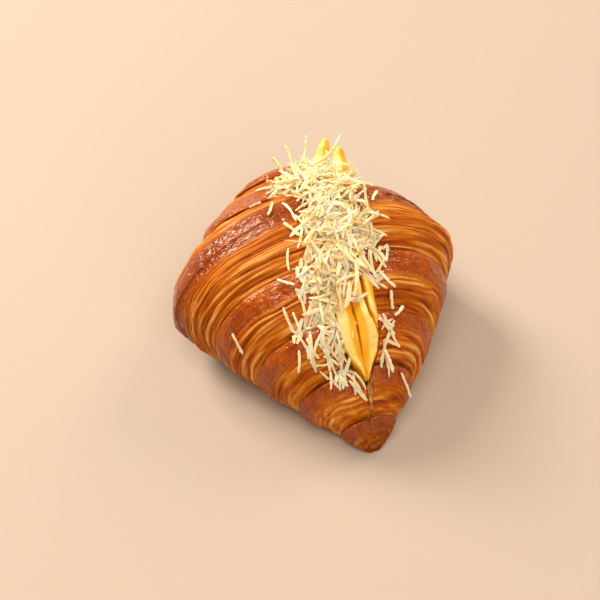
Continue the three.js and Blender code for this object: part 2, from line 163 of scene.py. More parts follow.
def as_plain_mesh(piece: bpy.types.Object) -> bpy.types.Object:
    """Turns an object's evaluated modifiers into its mesh and removes them.

    Args:
        piece: A mesh object with modifiers.

    Returns:
        The same object with a plain mesh.
    """
    bpy.context.view_layer.update()
    evaluated = piece.evaluated_get(bpy.context.evaluated_depsgraph_get())
    mesh = bpy.data.meshes.new_from_object(evaluated)
    piece.modifiers.clear()
    old = piece.data
    piece.data = mesh
    bpy.data.meshes.remove(old)
    return piece


def grid_faces(rows: int, columns: int, closed: bool = True) -> Array:
    """Faces between rows of points, each row joined to itself where it is closed."""
    i = np.arange(rows - 1)[:, None] * columns
    j = np.arange(columns if closed else columns - 1)[None, :]
    k = (j + 1) % columns
    return np.stack([i + j, i + k, i + k + columns, i + j + columns], -1).reshape(-1, 4)


# ------------------------------------------------------------------ the body's shape
class Side(Enum):
    """The two sides of the spine."""

    LEFT = -1
    RIGHT = 1


@dataclass
class BodyShape:
    """The croissant's shape by formula, in millimetres, with the sizes of the part.

    crust_point gives a point of the crust for a place along the spine and an angle around it, 0 on
    the crest, negative on the left and plus or minus pi in the middle of the base.
    """

    crown_behind_widest: float = 14.0
    near_wraps: tuple[float, ...] = (26, 22, 17.5, 14.5, 8)
    far_wraps: tuple[float, ...] = (24, 24, 20)
    height: float = 66.0
    left_reach: float = 62.5
    right_reach: float = 66.0
    nose_radius: float = 9.5
    crest_offset: float = 7.0
    step_depth: float = 3.0
    crown_step_depth: float = 5.0
    far_neck: float = 0.08
    neck_place: float = -32.0
    neck_length: float = 14.0
    left_fullness: tuple[float, float] = (1.12, 1.45)
    right_fullness: tuple[float, float] = (1.27, 1.14)
    crest_peak: float = -12.0
    near_tip_drift: float = 2.5
    kerf: float = 2.0
    open_left: float = 9.0
    open_right: float = 7.6
    cut_floor: float = 18.0
    tip_cut_depth: float = 4.2
    slit_starts: float = 32.0
    slit_reached: float = 14.0
    slit_fades: tuple[float, float] = (16.0, 5.0)
    slit_root: float = 0.1
    wall_root: float = 0.33
    wander_waves: tuple = ((0.35, 2.3), (0.2, 0.9))
    shoulder: float = 0.72
    waist: float = 0.4
    left_sweep: tuple[float, ...] = (0, -3, -3, 16, 7, 1, -1, -1, 0)
    right_sweep: tuple[float, ...] = (0, 0, 0, 9, 7, 5, 3, 0, 0)

    def __post_init__(self) -> None:
        """Works out the wrap edges and the place of the body in the part's frame."""
        self.crown = -self.crown_behind_widest
        self.near = sum(self.near_wraps) + self.crown
        self.far = sum(self.far_wraps) - self.crown
        self.near_edges = [self.crown + sum(self.near_wraps[:i]) for i in range(len(self.near_wraps) + 1)]
        self.far_edges = [self.crown - sum(self.far_wraps[:i]) for i in range(len(self.far_wraps) + 1)]
        self.edges = self.far_edges[:0:-1] + self.near_edges
        low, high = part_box("croissant")
        place, angle = np.meshgrid(np.linspace(-self.far, self.near, 300), np.linspace(-np.pi, np.pi, 97))
        across = self.crust_point(place, angle)[..., 1]
        middle_y = (low.y + high.y) / 2 / MM - (across.min() + across.max()) / 2
        self.shift = np.array([low.x / MM + self.far, middle_y, 0.0])

    def placed(self, points: Array) -> Array:
        """Moves points from the body's frame in mm to the part's frame in metres."""
        return (np.asarray(points) + self.shift) * MM

    def along_edges(self, values: tuple[float, ...], place: Array) -> Array:
        """A smooth curve through values given at the wrap edges."""
        result = np.full(np.shape(place), float(values[0]))
        for i in range(1, len(values)):
            result += (values[i] - values[i - 1]) * smooth_step(self.edges[i - 1], self.edges[i], place)
        return result

    def tip_share(self, x: Array) -> Array:
        """How far along its arm a place is, from 0 at the widest section to 1 at the tip."""
        return np.clip(np.where(x > 0, x / self.near, -x / self.far), 0, 1)

    def bell(self, x: Array, power: Array | float) -> Array:
        """A curve that falls from 1 at the widest section to 0 at the tips."""
        return np.maximum(1 - self.tip_share(x) ** power, 0) ** (1 / power)

    def spine_y(self, x: Array) -> Array:
        """The spine's place across the body."""
        t = self.tip_share(x)
        return np.where(x > 0, 1.5 * t ** 2 + self.near_tip_drift * smooth_step(0.75, 1, t), 10 * t ** 2)

    def half_width(self, x: Array, side: Array) -> Array:
        """Width to one side of the spine, with a round nose at the near tip."""
        left, right = (np.where(x > 0, *fullness) for fullness in (self.left_fullness, self.right_fullness))
        power = np.where(side < 0, left, right)
        from_neck = (x - self.neck_place) / self.neck_length
        neck = np.where(side < 0, self.far_neck * np.exp(-(from_neck ** 2)), 0)
        width = np.where(side < 0, self.left_reach, self.right_reach) * self.bell(x, power) * (1 - neck)
        from_nose = np.maximum(0, x - self.near + self.nose_radius)
        nose = np.sqrt(np.maximum(0, self.nose_radius ** 2 - from_nose ** 2))
        nose = np.where(x > self.near - 3 * self.nose_radius, nose, 0)
        return (width ** 6 + nose ** 6) ** (1 / 6)

    def crest_y(self, x: Array) -> Array:
        """The crest's place across the body."""
        return self.spine_y(x) + self.crest_offset * self.bell(x, 1.5)

    def crest_height(self, x: Array) -> Array:
        """Height of the crest, high over the near half and lower over the far arm."""
        peak = self.crest_peak
        t = np.clip(
            np.where(x > peak, (x - peak) / (self.near - peak), (peak - x) / (self.far + peak)), 0, 1
        )
        near = (1 - t ** 1.75) ** 0.72
        far = 0.64 * (1 - t ** 2.8) ** 0.5 + 0.36 * (1 - smooth_step(0, 0.62, t))
        return self.height * np.where(x > peak, near, far)

    def wrap_place(self, place: Array) -> tuple[Array, Array, Array]:
        """Which wrap a place lies in.

        Args:
            place: Places along the spine.

        Returns:
            The wrap's number from the crown, the share of its width crossed going outwards, and
            whether the wrap is on the far side (1) or the near side (0).
        """
        number = np.zeros(np.shape(place))
        share = np.zeros(np.shape(place))
        far = place <= self.crown
        for edges, mask in ((self.near_edges, ~far), (self.far_edges, far)):
            for i in range(1, len(edges)):
                t = (place - edges[i - 1]) / (edges[i] - edges[i - 1])
                inside = mask & (t >= 0) & (t <= 1)
                number = np.where(inside, i, number)
                share = np.where(inside, t, share)
        return number, share, far.astype(float)

    def relief(self, place: Array) -> Array:
        """Height of the wraps above their grooves, around a mean of about 0."""
        number, t, far = self.wrap_place(place)
        crown = 1 - np.clip((t - 0.35) / 0.65, 0, 1) ** 1.9
        rise = np.sqrt(1 - (1 - np.clip(t / 0.2, 0, 1)) ** 2)
        other = rise * (1 - np.clip((t - 0.3) / 0.7, 0, 1) ** 1.7)
        depth = np.where((number == 1) & (far > 0), self.crown_step_depth, self.step_depth)
        return depth * (np.where(number == 1, crown, other) - 0.7)

    def crust_point(self, place: Array, angle: Array) -> Array:
        """Points of the crust.

        Args:
            place: Places along the spine.
            angle: Angles around it.

        Returns:
            Points in the body's frame, in mm.
        """
        turn = np.minimum(np.abs(angle), 2 * np.pi / 3)
        left = self.along_edges(self.left_sweep, place)
        right = self.along_edges(self.right_sweep, place)
        under = smooth_step(0.55 * np.pi, np.pi, np.abs(angle))
        own = np.where(angle < 0, left, right)
        sweep = own + (0.5 * (left + right) - own) * under
        fade = (1 - self.tip_share(place) ** 2) * np.exp(-((place - self.crown) / 18.0) ** 2)
        x = np.clip(
            place + 0.9 * sweep * (1 - np.cos(turn)) - 3.0 * np.sin(angle) * fade, -self.far, self.near
        )
        side = np.where(angle < 0, -1.0, 1.0)
        crest = self.crest_y(x)
        plain_width = np.abs(self.spine_y(x) + side * self.half_width(x, side) - crest)
        plain_height = self.crest_height(x)
        tip_fade = np.clip(np.minimum(plain_width / 14, plain_height / 20), 0, 1)
        raised = self.relief(place) * tip_fade
        width = plain_width + raised
        height = plain_height + raised
        waist = self.waist * height
        across = np.sin(angle)
        up = np.cos(angle)
        y = crest + width * np.sign(across) * np.abs(across) ** 0.95
        over = waist + (height - waist) * np.abs(up) ** 0.95
        below = np.maximum(0, waist - 1.2 * waist * np.abs(up) ** 0.9)
        return np.stack([x, y, np.where(up > 0, over, below)], -1)

    def crust_above(self, x: Array, y: Array) -> tuple[Array, Array]:
        """Finds the crust over places seen from above.

        Args:
            x: Places along the body.
            y: Places across it.

        Returns:
            The points and the outward unit normals there.
        """
        x = np.asarray(x, float)
        y = np.asarray(y, float)
        place = x.copy()
        angle = np.zeros_like(x)
        for _ in range(24):
            side = np.where(y < self.crest_y(x), -1.0, 1.0)
            width = np.abs(
                self.spine_y(x) + side * self.half_width(x, side) - self.crest_y(x)
            ) + self.relief(place)
            share = np.clip(np.abs(y - self.crest_y(x)) / np.maximum(width, 1), 0, 1) ** (1 / 0.95)
            angle = side * np.arcsin(share)
            place = np.clip(
                place + 0.8 * (x - self.crust_point(place, angle)[..., 0]), -self.far, self.near
            )
        point = self.crust_point(place, angle)
        d_place = self.crust_point(place + 0.5, angle) - self.crust_point(place - 0.5, angle)
        d_angle = self.crust_point(place, angle + 0.02) - self.crust_point(place, angle - 0.02)
        normal = np.cross(d_angle, d_place)
        normal *= np.where(normal[..., 2:3] < 0, -1, 1)
        normal /= np.maximum(np.linalg.norm(normal, axis=-1, keepdims=True), 1e-9)
        return point, normal

    def knife_y(self, x: Array) -> Array:
        """The knife line seen from above."""
        x = np.asarray(x, float)
        return 11.9 - 0.205 * x + 0.0017 * x ** 2 - 4 * smooth_step(self.near - 15, self.near, x)

    def floor_height(self, x: Array) -> Array:
        """Height of the joined dough under the cut."""
        depth = self.tip_cut_depth - (
            self.tip_cut_depth + 1.5
        ) * smooth_step(self.near - 9, self.near - 3, x)
        rise = smooth_step(self.near - 26, self.near - 14, x)
        return self.cut_floor + (self.lip_height(x) - depth - self.cut_floor) * rise

    def lip_height(self, x: Array) -> Array:
        """Height of the lips of the cut."""
        x = np.asarray(x, float)
        shoulder = self.spine_y(x) + self.shoulder * self.half_width(x, np.ones_like(x))
        return self.crust_above(x, np.minimum(self.knife_y(x), shoulder))[0][..., 2]

    def wall_y(self, x: Array, z: Array, side: Side) -> Array:
        """One wall of the cut at a height.

        Past the filling the cut closes to a slit: a tapering V that wanders a little.

        Args:
            x: Places along the body.
            z: Heights.
            side: Which wall.

        Returns:
            Its place across the body.
        """
        share = 1 - smooth_step(self.near - self.slit_starts, self.near - self.slit_reached, x)
        reach = (self.open_left if side is Side.LEFT else self.open_right) * share
        floor = self.floor_height(x)
        rise = np.clip((z - floor) / np.maximum(self.lip_height(x) - floor, 8), 0, 1.25)
        shallow = np.clip((z - floor) / np.maximum(self.lip_height(x) - floor, 1), 0, 1.25)
        slit = self.kerf * (share + (1 - share) * (self.slit_root + (1 - self.slit_root) * shallow))
        fade_from, fade_to = self.slit_fades
        slit = slit * (1 - 0.8 * smooth_step(self.near - fade_from, self.near - fade_to, x))
        (slow, slow_mm), (quick, quick_mm) = self.wander_waves
        wander = (1 - share) * (slow * np.sin(x / slow_mm) + quick * np.sin(x / quick_mm))
        open_share = self.wall_root + (1 - self.wall_root) * rise
        return self.knife_y(x) + wander + side.value * (slit / 2 + reach * open_share)


SHAPE = BodyShape()


# ------------------------------------------------------------------ finishes
def new_material(name: str) -> tuple[bpy.types.Material, bpy.types.NodeTree, bpy.types.Node]:
    """Starts a node material.

    Args:
        name: The material's name.

    Returns:
        The material, its tree and its surface shader.
    """
    material = bpy.data.materials.new(name)
    material.use_nodes = True
    tree = material.node_tree
    return material, tree, tree.nodes["Principled BSDF"]


@dataclass(frozen=True)
class LaminatedCrust:
    """Egg-washed laminated dough, baked dark.

    The tops of the wraps took the egg wash and the heat: mahogany, blistered and glossy. Beside them
    the cut edges of the layers show as fine golden stripes with darker lines between them; on top of that
    the raised ridges are painted lighter and the gaps between them darker, as painted light and shade.
    """

    name: str = "laminated_dough_egg_washed_baked"
    gloss_roughness: float = 0.26
    layer_roughness: float = 0.5
    coat: float = 0.75
    coat_roughness: float = 0.07
    specular: float = 0.3
    reflection_tint: str = "#FFD7A0"
    layer_mm: float = 1.0
    pore_mm: float = 0.55
    wrinkle_mm: float = 1.9

    def build(self) -> bpy.types.Material:
        """Makes the material; patterns follow the wraps through the along and around attributes.

        Returns:
            The finished material.
        """
        material, tree, surface = new_material(self.name)
        names = ("along", "around", "band", "height", "groove", "under", "shade")
        value = {
            n: add_node(tree, "ShaderNodeAttribute", attribute_name=n).outputs["Fac"] for n in names
        }
        along = add_node(tree, "ShaderNodeCombineXYZ", {0: value["along"], 1: value["around"], 2: 0.0})

        def noise(
            scale: tuple[float, float], detail: float, rough: float = 0.55, twist: float = 0.0
        ) -> bpy.types.NodeSocket:
            """Noise over the crust with its frequency in waves per mm along and around."""
            at = add_node(tree, "ShaderNodeMapping", {0: along.outputs[0], "Scale": (*scale, 1.0)})
            made = add_node(
                tree, "ShaderNodeTexNoise",
                {
                    "Vector": at.outputs[0], "Scale": 1.0, "Detail": detail, "Roughness": rough,
                    "Distortion": twist,
                },
            )
            return made.outputs[0]

        def weighted(terms: list[tuple[bpy.types.NodeSocket, float]], start: float) -> bpy.types.NodeSocket:
            """A sum of weighted values."""
            total = start
            for socket, weight in terms:
                total = add_node(
                    tree, "ShaderNodeMath", {0: socket, 1: weight, 2: total}, operation="MULTIPLY_ADD"
                ).outputs[0]
            return total

        layer_line = noise((1 / self.layer_mm, 0.04), 2.5, 0.55, 0.25)
        layer_group = noise((0.26, 0.02), 2.5)
        blotch = noise((0.085, 0.085), 4.0, 0.6)
        mottle = noise((0.5, 0.4), 4.0, 0.6)
        freckle = noise((1.7, 1.2), 3.0, 0.6)
        # Stripes of the layer edges: fine lines, grouped, over the raised relief. The relief height lightens
        # the raised ridges and leaves the gaps between them darker: painted light and painted shade over the
        # layers' own lines.
        stripe_with_ridge_shading = weighted(
            [
                (layer_line, 1.35), (layer_group, 0.5), (value["height"], 0.62), (blotch, 0.4),
                (freckle, 0.32),
            ], -1.06
        )
        layers = add_node(tree, "ShaderNodeValToRGB", {"Fac": stripe_with_ridge_shading})
        set_ramp(
            layers,
            [(0.04, "#6E2602"), (0.26, "#9E4604"), (0.48, "#B75C06"), (0.7, "#CE7E20"), (0.95, "#E8B068")],
        )
        glaze_at = weighted([(blotch, 0.9), (mottle, 0.5), (freckle, 0.3), (layer_line, 0.5)], -0.6)
        glaze = add_node(tree, "ShaderNodeValToRGB", {"Fac": glaze_at})
        set_ramp(glaze, [(0.16, "#6C2A04"), (0.38, "#924404"), (0.6, "#B05E06"), (0.85, "#CC8624")])
        # The glazed band ends raggedly where the layers begin.
        edge = weighted([(value["band"], 1.0), (mottle, 0.55), (layer_group, 0.5)], -0.52)
        band = add_node(
            tree, "ShaderNodeMapRange", {0: edge, 1: 0.1, 2: 0.86}, interpolation_type="SMOOTHSTEP"
        )
        colour = add_node(
            tree, "ShaderNodeMix", {
                0: band.outputs[0], 6: layers.outputs[0], 7: glaze.outputs[0]
            }, data_type="RGBA"
        )
        # Grooves darken it, partly as darker brown and partly as painted shade in the creases between the
        # wraps; the toasted tone of each region darkens it too, and the flat base is plain brown.
        dark = add_node(
            tree, "ShaderNodeMix", {
                0: value["groove"], 6: colour.outputs[2], 7: linear("#562404")
            }, data_type="RGBA"
        )
        toast = add_node(
            tree, "ShaderNodeMix", {
                0: value["shade"], 6: dark.outputs[2], 7: linear("#6A2C04")
            }, data_type="RGBA"
        )
        sole = add_node(tree, "ShaderNodeValToRGB", {"Fac": mottle})
        set_ramp(sole, [(0.3, "#8C4A12"), (0.5, "#B0701F"), (0.7, "#CC9240")])
        final = add_node(
            tree, "ShaderNodeMix", {
                0: value["under"], 6: toast.outputs[2], 7: sole.outputs[0]
            }, data_type="RGBA"
        )
        tree.links.new(final.outputs[2], surface.inputs["Base Color"])
        rough = add_node(
            tree, "ShaderNodeMapRange", {
                0: band.outputs[0], 3: self.layer_roughness, 4: self.gloss_roughness
            }
        )
        tree.links.new(
            weighted([(mottle, 0.2), (rough.outputs[0], 1.0)], -0.1), surface.inputs["Roughness"]
        )
        tree.links.new(weighted([(band.outputs[0], self.coat)], 0.04), surface.inputs["Coat Weight"])
        surface.inputs["Coat Roughness"].default_value = self.coat_roughness
        surface.inputs["IOR"].default_value = 1.45
        surface.inputs["Specular IOR Level"].default_value = self.specular
        surface.inputs["Specular Tint"].default_value = linear(self.reflection_tint)
        surface.inputs["Coat Tint"].default_value = linear(self.reflection_tint)
        # Wrinkles of the dried egg wash on the bands, edges of the layers beside them, pores on both.
        wrinkle = noise((1 / self.wrinkle_mm, 0.5 / self.wrinkle_mm), 2.0, 0.5, 0.8)
        pore = noise((1 / self.pore_mm, 0.8 / self.pore_mm), 2.0)
        wrinkled = add_node(tree, "ShaderNodeMath", {0: wrinkle, 1: band.outputs[0]}, operation="MULTIPLY")
        unglazed = add_node(tree, "ShaderNodeMath", {0: 1.0, 1: band.outputs[0]}, operation="SUBTRACT")
        lined = add_node(
            tree, "ShaderNodeMath", {0: layer_line, 1: unglazed.outputs[0]}, operation="MULTIPLY"
        )
        bumps = weighted([(wrinkled.outputs[0], 1.8), (lined.outputs[0], 1.9), (pore, 0.2)], 0.0)
        bump = add_node(tree, "ShaderNodeBump", {"Strength": 0.85, "Distance": 0.0008, "Height": bumps})
        tree.links.new(bump.outputs[0], surface.inputs["Normal"])
        film = add_node(tree, "ShaderNodeBump", {"Strength": 1.0, "Distance": 0.0011, "Height": wrinkle})
        tree.links.new(film.outputs[0], surface.inputs["Coat Normal"])
        return material


@dataclass(frozen=True)
class OpenCrumb:
    """The baked inside of the dough where the knife opened it: pale, airy, torn in layers."""

    name: str = "croissant_crumb_cut_open"
    cell_mm: float = 2.4

    def build(self) -> bpy.types.Material:
        """Makes the material; air cells are flattened along the layers.

        Returns:
            The finished material.
        """
        material, tree, surface = new_material(self.name)
        place = add_node(tree, "ShaderNodeTexCoord")
        flat = add_node(tree, "ShaderNodeMapping", {0: place.outputs["Object"], "Scale": (0.7, 1.0, 1.7)})
        cells = add_node(
            tree, "ShaderNodeTexVoronoi", {"Vector": flat.outputs[0], "Scale": 1 / (self.cell_mm * MM)}
        )
        grain = add_node(
            tree, "ShaderNodeTexNoise", {"Vector": flat.outputs[0], "Scale": 900.0, "Detail": 4.0}
        )
        depth = add_node(
            tree, "ShaderNodeMath", {
                0: grain.outputs[0], 1: 0.6, 2: cells.outputs[0]
            }, operation="MULTIPLY_ADD"
        )
        # Deeper into the air cells the colour turns from pale cream to darker golden: painted shade in the
        # cells.
        crumb_depth_shade = add_node(tree, "ShaderNodeValToRGB", {"Fac": depth.outputs[0]})
        set_ramp(crumb_depth_shade, [(0.45, "#FFE0A0"), (0.75, "#F2C070"), (1.0, "#D9963F")])
        tree.links.new(crumb_depth_shade.outputs[0], surface.inputs["Base Color"])
        surface.inputs["Roughness"].default_value = 0.8
        bump = add_node(
            tree, "ShaderNodeBump", {
                "Strength": 0.8, "Distance": 0.0012, "Height": depth.outputs[0]
            }, invert=True
        )
        tree.links.new(bump.outputs[0], surface.inputs["Normal"])
        return material


@dataclass(frozen=True)
class CutCheese:
    """Firm yellow cheese, sliced: pale satin upper faces as painted light, deeper golden sides as painted
    shade over the yellow, fine drag marks of the knife.
    """

    name: str = "firm_cheese_sliced"
    drag_mm: float = 1.1

    def build(self) -> bpy.types.Material:
        """Makes the material; its face attribute is 1 on the pale upward faces, painted light, and 0 on the
        deeper golden sides, painted shade.

        Returns:
            The finished material.
        """
        material, tree, surface = new_material(self.name)
        place = add_node(tree, "ShaderNodeTexCoord")
        face = add_node(tree, "ShaderNodeAttribute", attribute_name="lit_top_face")
        cloud = add_node(
            tree, "ShaderNodeTexNoise",
            {"Vector": place.outputs["Object"], "Scale": 160.0, "Detail": 4.0, "Roughness": 0.6},
        )
        drag_at = add_node(
            tree, "ShaderNodeMapping", {0: place.outputs["Object"], "Scale": (0.16, 1.0, 1.0)}
        )
        drag = add_node(
            tree, "ShaderNodeTexNoise",
            {"Vector": drag_at.outputs[0], "Scale": 1 / (self.drag_mm * MM), "Detail": 3.0},
        )
        # Pale ramp for the upward faces, painted light; deep golden ramp for the sides, painted shade over
        # the cheese's yellow.
        pale = add_node(tree, "ShaderNodeValToRGB", {"Fac": cloud.outputs[0]})
        set_ramp(pale, [(0.3, "#FFDA62"), (0.5, "#FFE686"), (0.7, "#FFF1AE")])
        deep = add_node(tree, "ShaderNodeValToRGB", {"Fac": cloud.outputs[0]})
        set_ramp(deep, [(0.3, "#FFB414"), (0.5, "#FFC22A"), (0.72, "#FFD04C")])
        colour = add_node(
            tree, "ShaderNodeMix", {
                0: face.outputs["Fac"], 6: deep.outputs[0], 7: pale.outputs[0]
            }, data_type="RGBA"
        )
        tree.links.new(colour.outputs[2], surface.inputs["Base Color"])
        rough = add_node(tree, "ShaderNodeMapRange", {0: drag.outputs[0], 3: 0.32, 4: 0.52})
        tree.links.new(rough.outputs[0], surface.inputs["Roughness"])
        surface.inputs["Subsurface Weight"].default_value = 0.35
        surface.inputs["Subsurface Radius"].default_value = (0.005, 0.003, 0.0008)
        surface.inputs["Subsurface Scale"].default_value = 0.5
        surface.inputs["IOR"].default_value = 1.45
        bump = add_node(
            tree, "ShaderNodeBump", {"Strength": 0.35, "Distance": 0.0004, "Height": drag.outputs[0]}
        )
        tree.links.new(bump.outputs[0], surface.inputs["Normal"])
        return material


@dataclass(frozen=True)
class GratedCheese:
    """The same cheese pulled through a grater: cream shreds with rough, slightly dry edges."""

    name: str = "firm_cheese_grated"
    tones: tuple[str, str, str] = ("#FFDB9A", "#FFE9BC", "#FFF4DC")

    def build(self) -> bpy.types.Material:
        """Makes the material.

        Returns:
            The finished material.
        """
        material, tree, surface = new_material(self.name)
        place = add_node(tree, "ShaderNodeTexCoord")
        tone = add_node(
            tree, "ShaderNodeTexNoise",
            {"Vector": place.outputs["Object"], "Scale": 210.0, "Detail": 3.0, "Roughness": 0.6},
        )
        grain = add_node(
            tree, "ShaderNodeTexNoise", {"Vector": place.outputs["Object"], "Scale": 2400.0, "Detail": 2.0}
        )
        colour = add_node(tree, "ShaderNodeValToRGB", {"Fac": tone.outputs[0]})
        set_ramp(colour, list(zip((0.3, 0.5, 0.7), self.tones)))
        tree.links.new(colour.outputs[0], surface.inputs["Base Color"])
        rough = add_node(tree, "ShaderNodeMapRange", {0: grain.outputs[0], 3: 0.42, 4: 0.66})
        tree.links.new(rough.outputs[0], surface.inputs["Roughness"])
        surface.inputs["Subsurface Weight"].default_value = 0.6
        surface.inputs["Subsurface Radius"].default_value = (0.006, 0.003, 0.0012)
        surface.inputs["Subsurface Scale"].default_value = 0.3
        bump = add_node(
            tree, "ShaderNodeBump", {"Strength": 0.4, "Distance": 0.0002, "Height": grain.outputs[0]}
        )
        tree.links.new(bump.outputs[0], surface.inputs["Normal"])
        return material


@dataclass(frozen=True)
class PaleTable:
    """A plain pale table top under the croissant, matt, with a faint unevenness."""

    name: str = "pale_table_matt_painted"
    colour: str = "#B8ADA2"

    def build(self) -> bpy.types.Material:
        """Makes the material."""
        material, tree, surface = new_material(self.name)
        surface.inputs["Base Color"].default_value = linear(self.colour)
        surface.inputs["Roughness"].default_value = 0.7
        return material


# ------------------------------------------------------------------ rules that follow a surface
class SurfaceTree:
    """Starts a geometry tree with named inputs and runs it on an object."""

    def __init__(self, name: str, sizes: dict[str, float]) -> None:
        """Makes the tree.

        Args:
            name: The tree's name.
            sizes: Name and value of each size that the tree takes as an input.
        """
        self.sizes = sizes
        self.tree = bpy.data.node_groups.new(name, "GeometryNodeTree")
        face = self.tree.interface
        face.new_socket("Geometry", in_out="INPUT", socket_type="NodeSocketGeometry")
        for size in sizes:
            face.new_socket(size, in_out="INPUT", socket_type="NodeSocketFloat")
        face.new_socket("Geometry", in_out="OUTPUT", socket_type="NodeSocketGeometry")
        self.start = self.tree.nodes.new("NodeGroupInput")
        self.end = self.tree.nodes.new("NodeGroupOutput")

    def add(self, kind: str, inputs: dict | None = None, **settings) -> bpy.types.Node:
        """Adds a node to this tree."""
        return add_node(self.tree, kind, inputs, **settings)

    def finish(self, geometry: bpy.types.NodeSocket) -> None:
        """Links the tree's result."""
        self.tree.links.new(geometry, self.end.inputs[0])

    def run(self, piece: bpy.types.Object) -> bpy.types.Object:
        """Runs the tree on an object and keeps the result as its plain mesh.

        Args:
            piece: The object that the tree changes.

        Returns:
            The same object.
        """
        modifier = piece.modifiers.new(self.tree.name, "NODES")
        modifier.node_group = self.tree
        for item in self.tree.interface.items_tree:
            if item.in_out == "INPUT" and item.name in self.sizes:
                modifier[item.identifier] = float(self.sizes[item.name])
        return as_plain_mesh(piece)


class LayerRelief(SurfaceTree):
    """Raises the layer edges, the blisters of the glazed bands and slow lumps out of the plain body."""

    def __init__(self) -> None:
        """Builds the tree. Sizes are in mm."""
        super().__init__("layer_relief", {
            "Layer Spacing": 1.45, "Layer Depth": 0.45, "Blister Size": 2.8, "Blister Depth": 0.6,
            "Lump Size": 13.0, "Lump Depth": 1.3, "Seed": 7.0,
        })
        size = self.start.outputs
        value = {
            n: self.add("GeometryNodeInputNamedAttribute", {"Name": n}, data_type="FLOAT").outputs[0]
            for n in ("along", "around", "band", "layers", "under")
        }
        slow = self.add("ShaderNodeCombineXYZ", {0: value["along"], 1: value["around"], 2: size["Seed"]})
        drift_at = self.add(
            "ShaderNodeVectorMath", {0: slow.outputs[0], 1: (0.065, 0.024, 1.0)}, operation="MULTIPLY"
        )
        drift = self.add("ShaderNodeTexNoise", {"Vector": drift_at.outputs[0], "Scale": 1.0, "Detail": 2.0})
        drifted = self.add(
            "ShaderNodeMath", {0: drift.outputs[0], 1: 7.0, 2: value["along"]}, operation="MULTIPLY_ADD"
        )
        count = self.add(
            "ShaderNodeMath", {0: drifted.outputs[0], 1: size["Layer Spacing"]}, operation="DIVIDE"
        )
        around = self.add("ShaderNodeMath", {0: value["around"], 1: 0.024}, operation="MULTIPLY")
        at = self.add("ShaderNodeCombineXYZ", {0: count.outputs[0], 1: around.outputs[0], 2: size["Seed"]})
        edges = self.add(
            "ShaderNodeTexNoise", {"Vector": at.outputs[0], "Scale": 1.0, "Detail": 1.5, "Roughness": 0.55}
        )
        sharp = self.add("ShaderNodeMapRange", {0: edges.outputs[0], 1: 0.33, 2: 0.67})
        swell_at = self.add(
            "ShaderNodeVectorMath", {0: slow.outputs[0], 1: (1.0, 0.62, 1.0)}, operation="MULTIPLY"
        )
        swell_at = self.add(
            "ShaderNodeVectorMath", {0: swell_at.outputs[0], 1: size["Blister Size"]}, operation="DIVIDE"
        )
        blister = self.add(
            "ShaderNodeTexNoise",
            {
                "Vector": swell_at.outputs[0], "Scale": 1.0, "Detail": 3.0, "Roughness": 0.55,
                "Distortion": 0.5,
            },
        )
        lump_at = self.add(
            "ShaderNodeVectorMath", {0: slow.outputs[0], 1: size["Lump Size"]}, operation="DIVIDE"
        )
        lump = self.add("ShaderNodeTexNoise", {"Vector": lump_at.outputs[0], "Scale": 1.0, "Detail": 2.0})
        total = None
        for source, mask, depth in (
            (sharp.outputs[0], value["layers"], "Layer Depth"),
            (blister.outputs[0], value["band"], "Blister Depth"),
            (lump.outputs[0], None, "Lump Depth"),
        ):
            centred = self.add("ShaderNodeMath", {0: source, 1: 2.0, 2: -1.0}, operation="MULTIPLY_ADD")
            scaled = self.add(
                "ShaderNodeMath", {0: centred.outputs[0], 1: size[depth]}, operation="MULTIPLY"
            )
            if mask is not None:
                scaled = self.add("ShaderNodeMath", {0: scaled.outputs[0], 1: mask}, operation="MULTIPLY")
            if total is None:
                total = scaled
            else:
                total = self.add(
                    "ShaderNodeMath", {0: total.outputs[0], 1: scaled.outputs[0]}, operation="ADD"
                )
        above = self.add("ShaderNodeMath", {0: 1.0, 1: value["under"]}, operation="SUBTRACT")
        total = self.add("ShaderNodeMath", {0: total.outputs[0], 1: above.outputs[0]}, operation="MULTIPLY")
        metres = self.add("ShaderNodeMath", {0: total.outputs[0], 1: MM}, operation="MULTIPLY")
        normal = self.add("GeometryNodeInputNormal")
        offset = self.add(
            "ShaderNodeVectorMath", {0: normal.outputs[0], "Scale": metres.outputs[0]}, operation="SCALE"
        )
        # The stored height also lightens the raised ridges in the crust's colour and leaves the gaps darker:
        # painted light and shade.
        store = self.add(
            "GeometryNodeStoreNamedAttribute",
            {"Geometry": size[0], "Name": "height", "Value": sharp.outputs[0]},
            data_type="FLOAT", domain="POINT",
        )
        moved = self.add(
            "GeometryNodeSetPosition", {"Geometry": store.outputs[0], "Offset": offset.outputs[0]}
        )
        self.finish(moved.outputs[0])


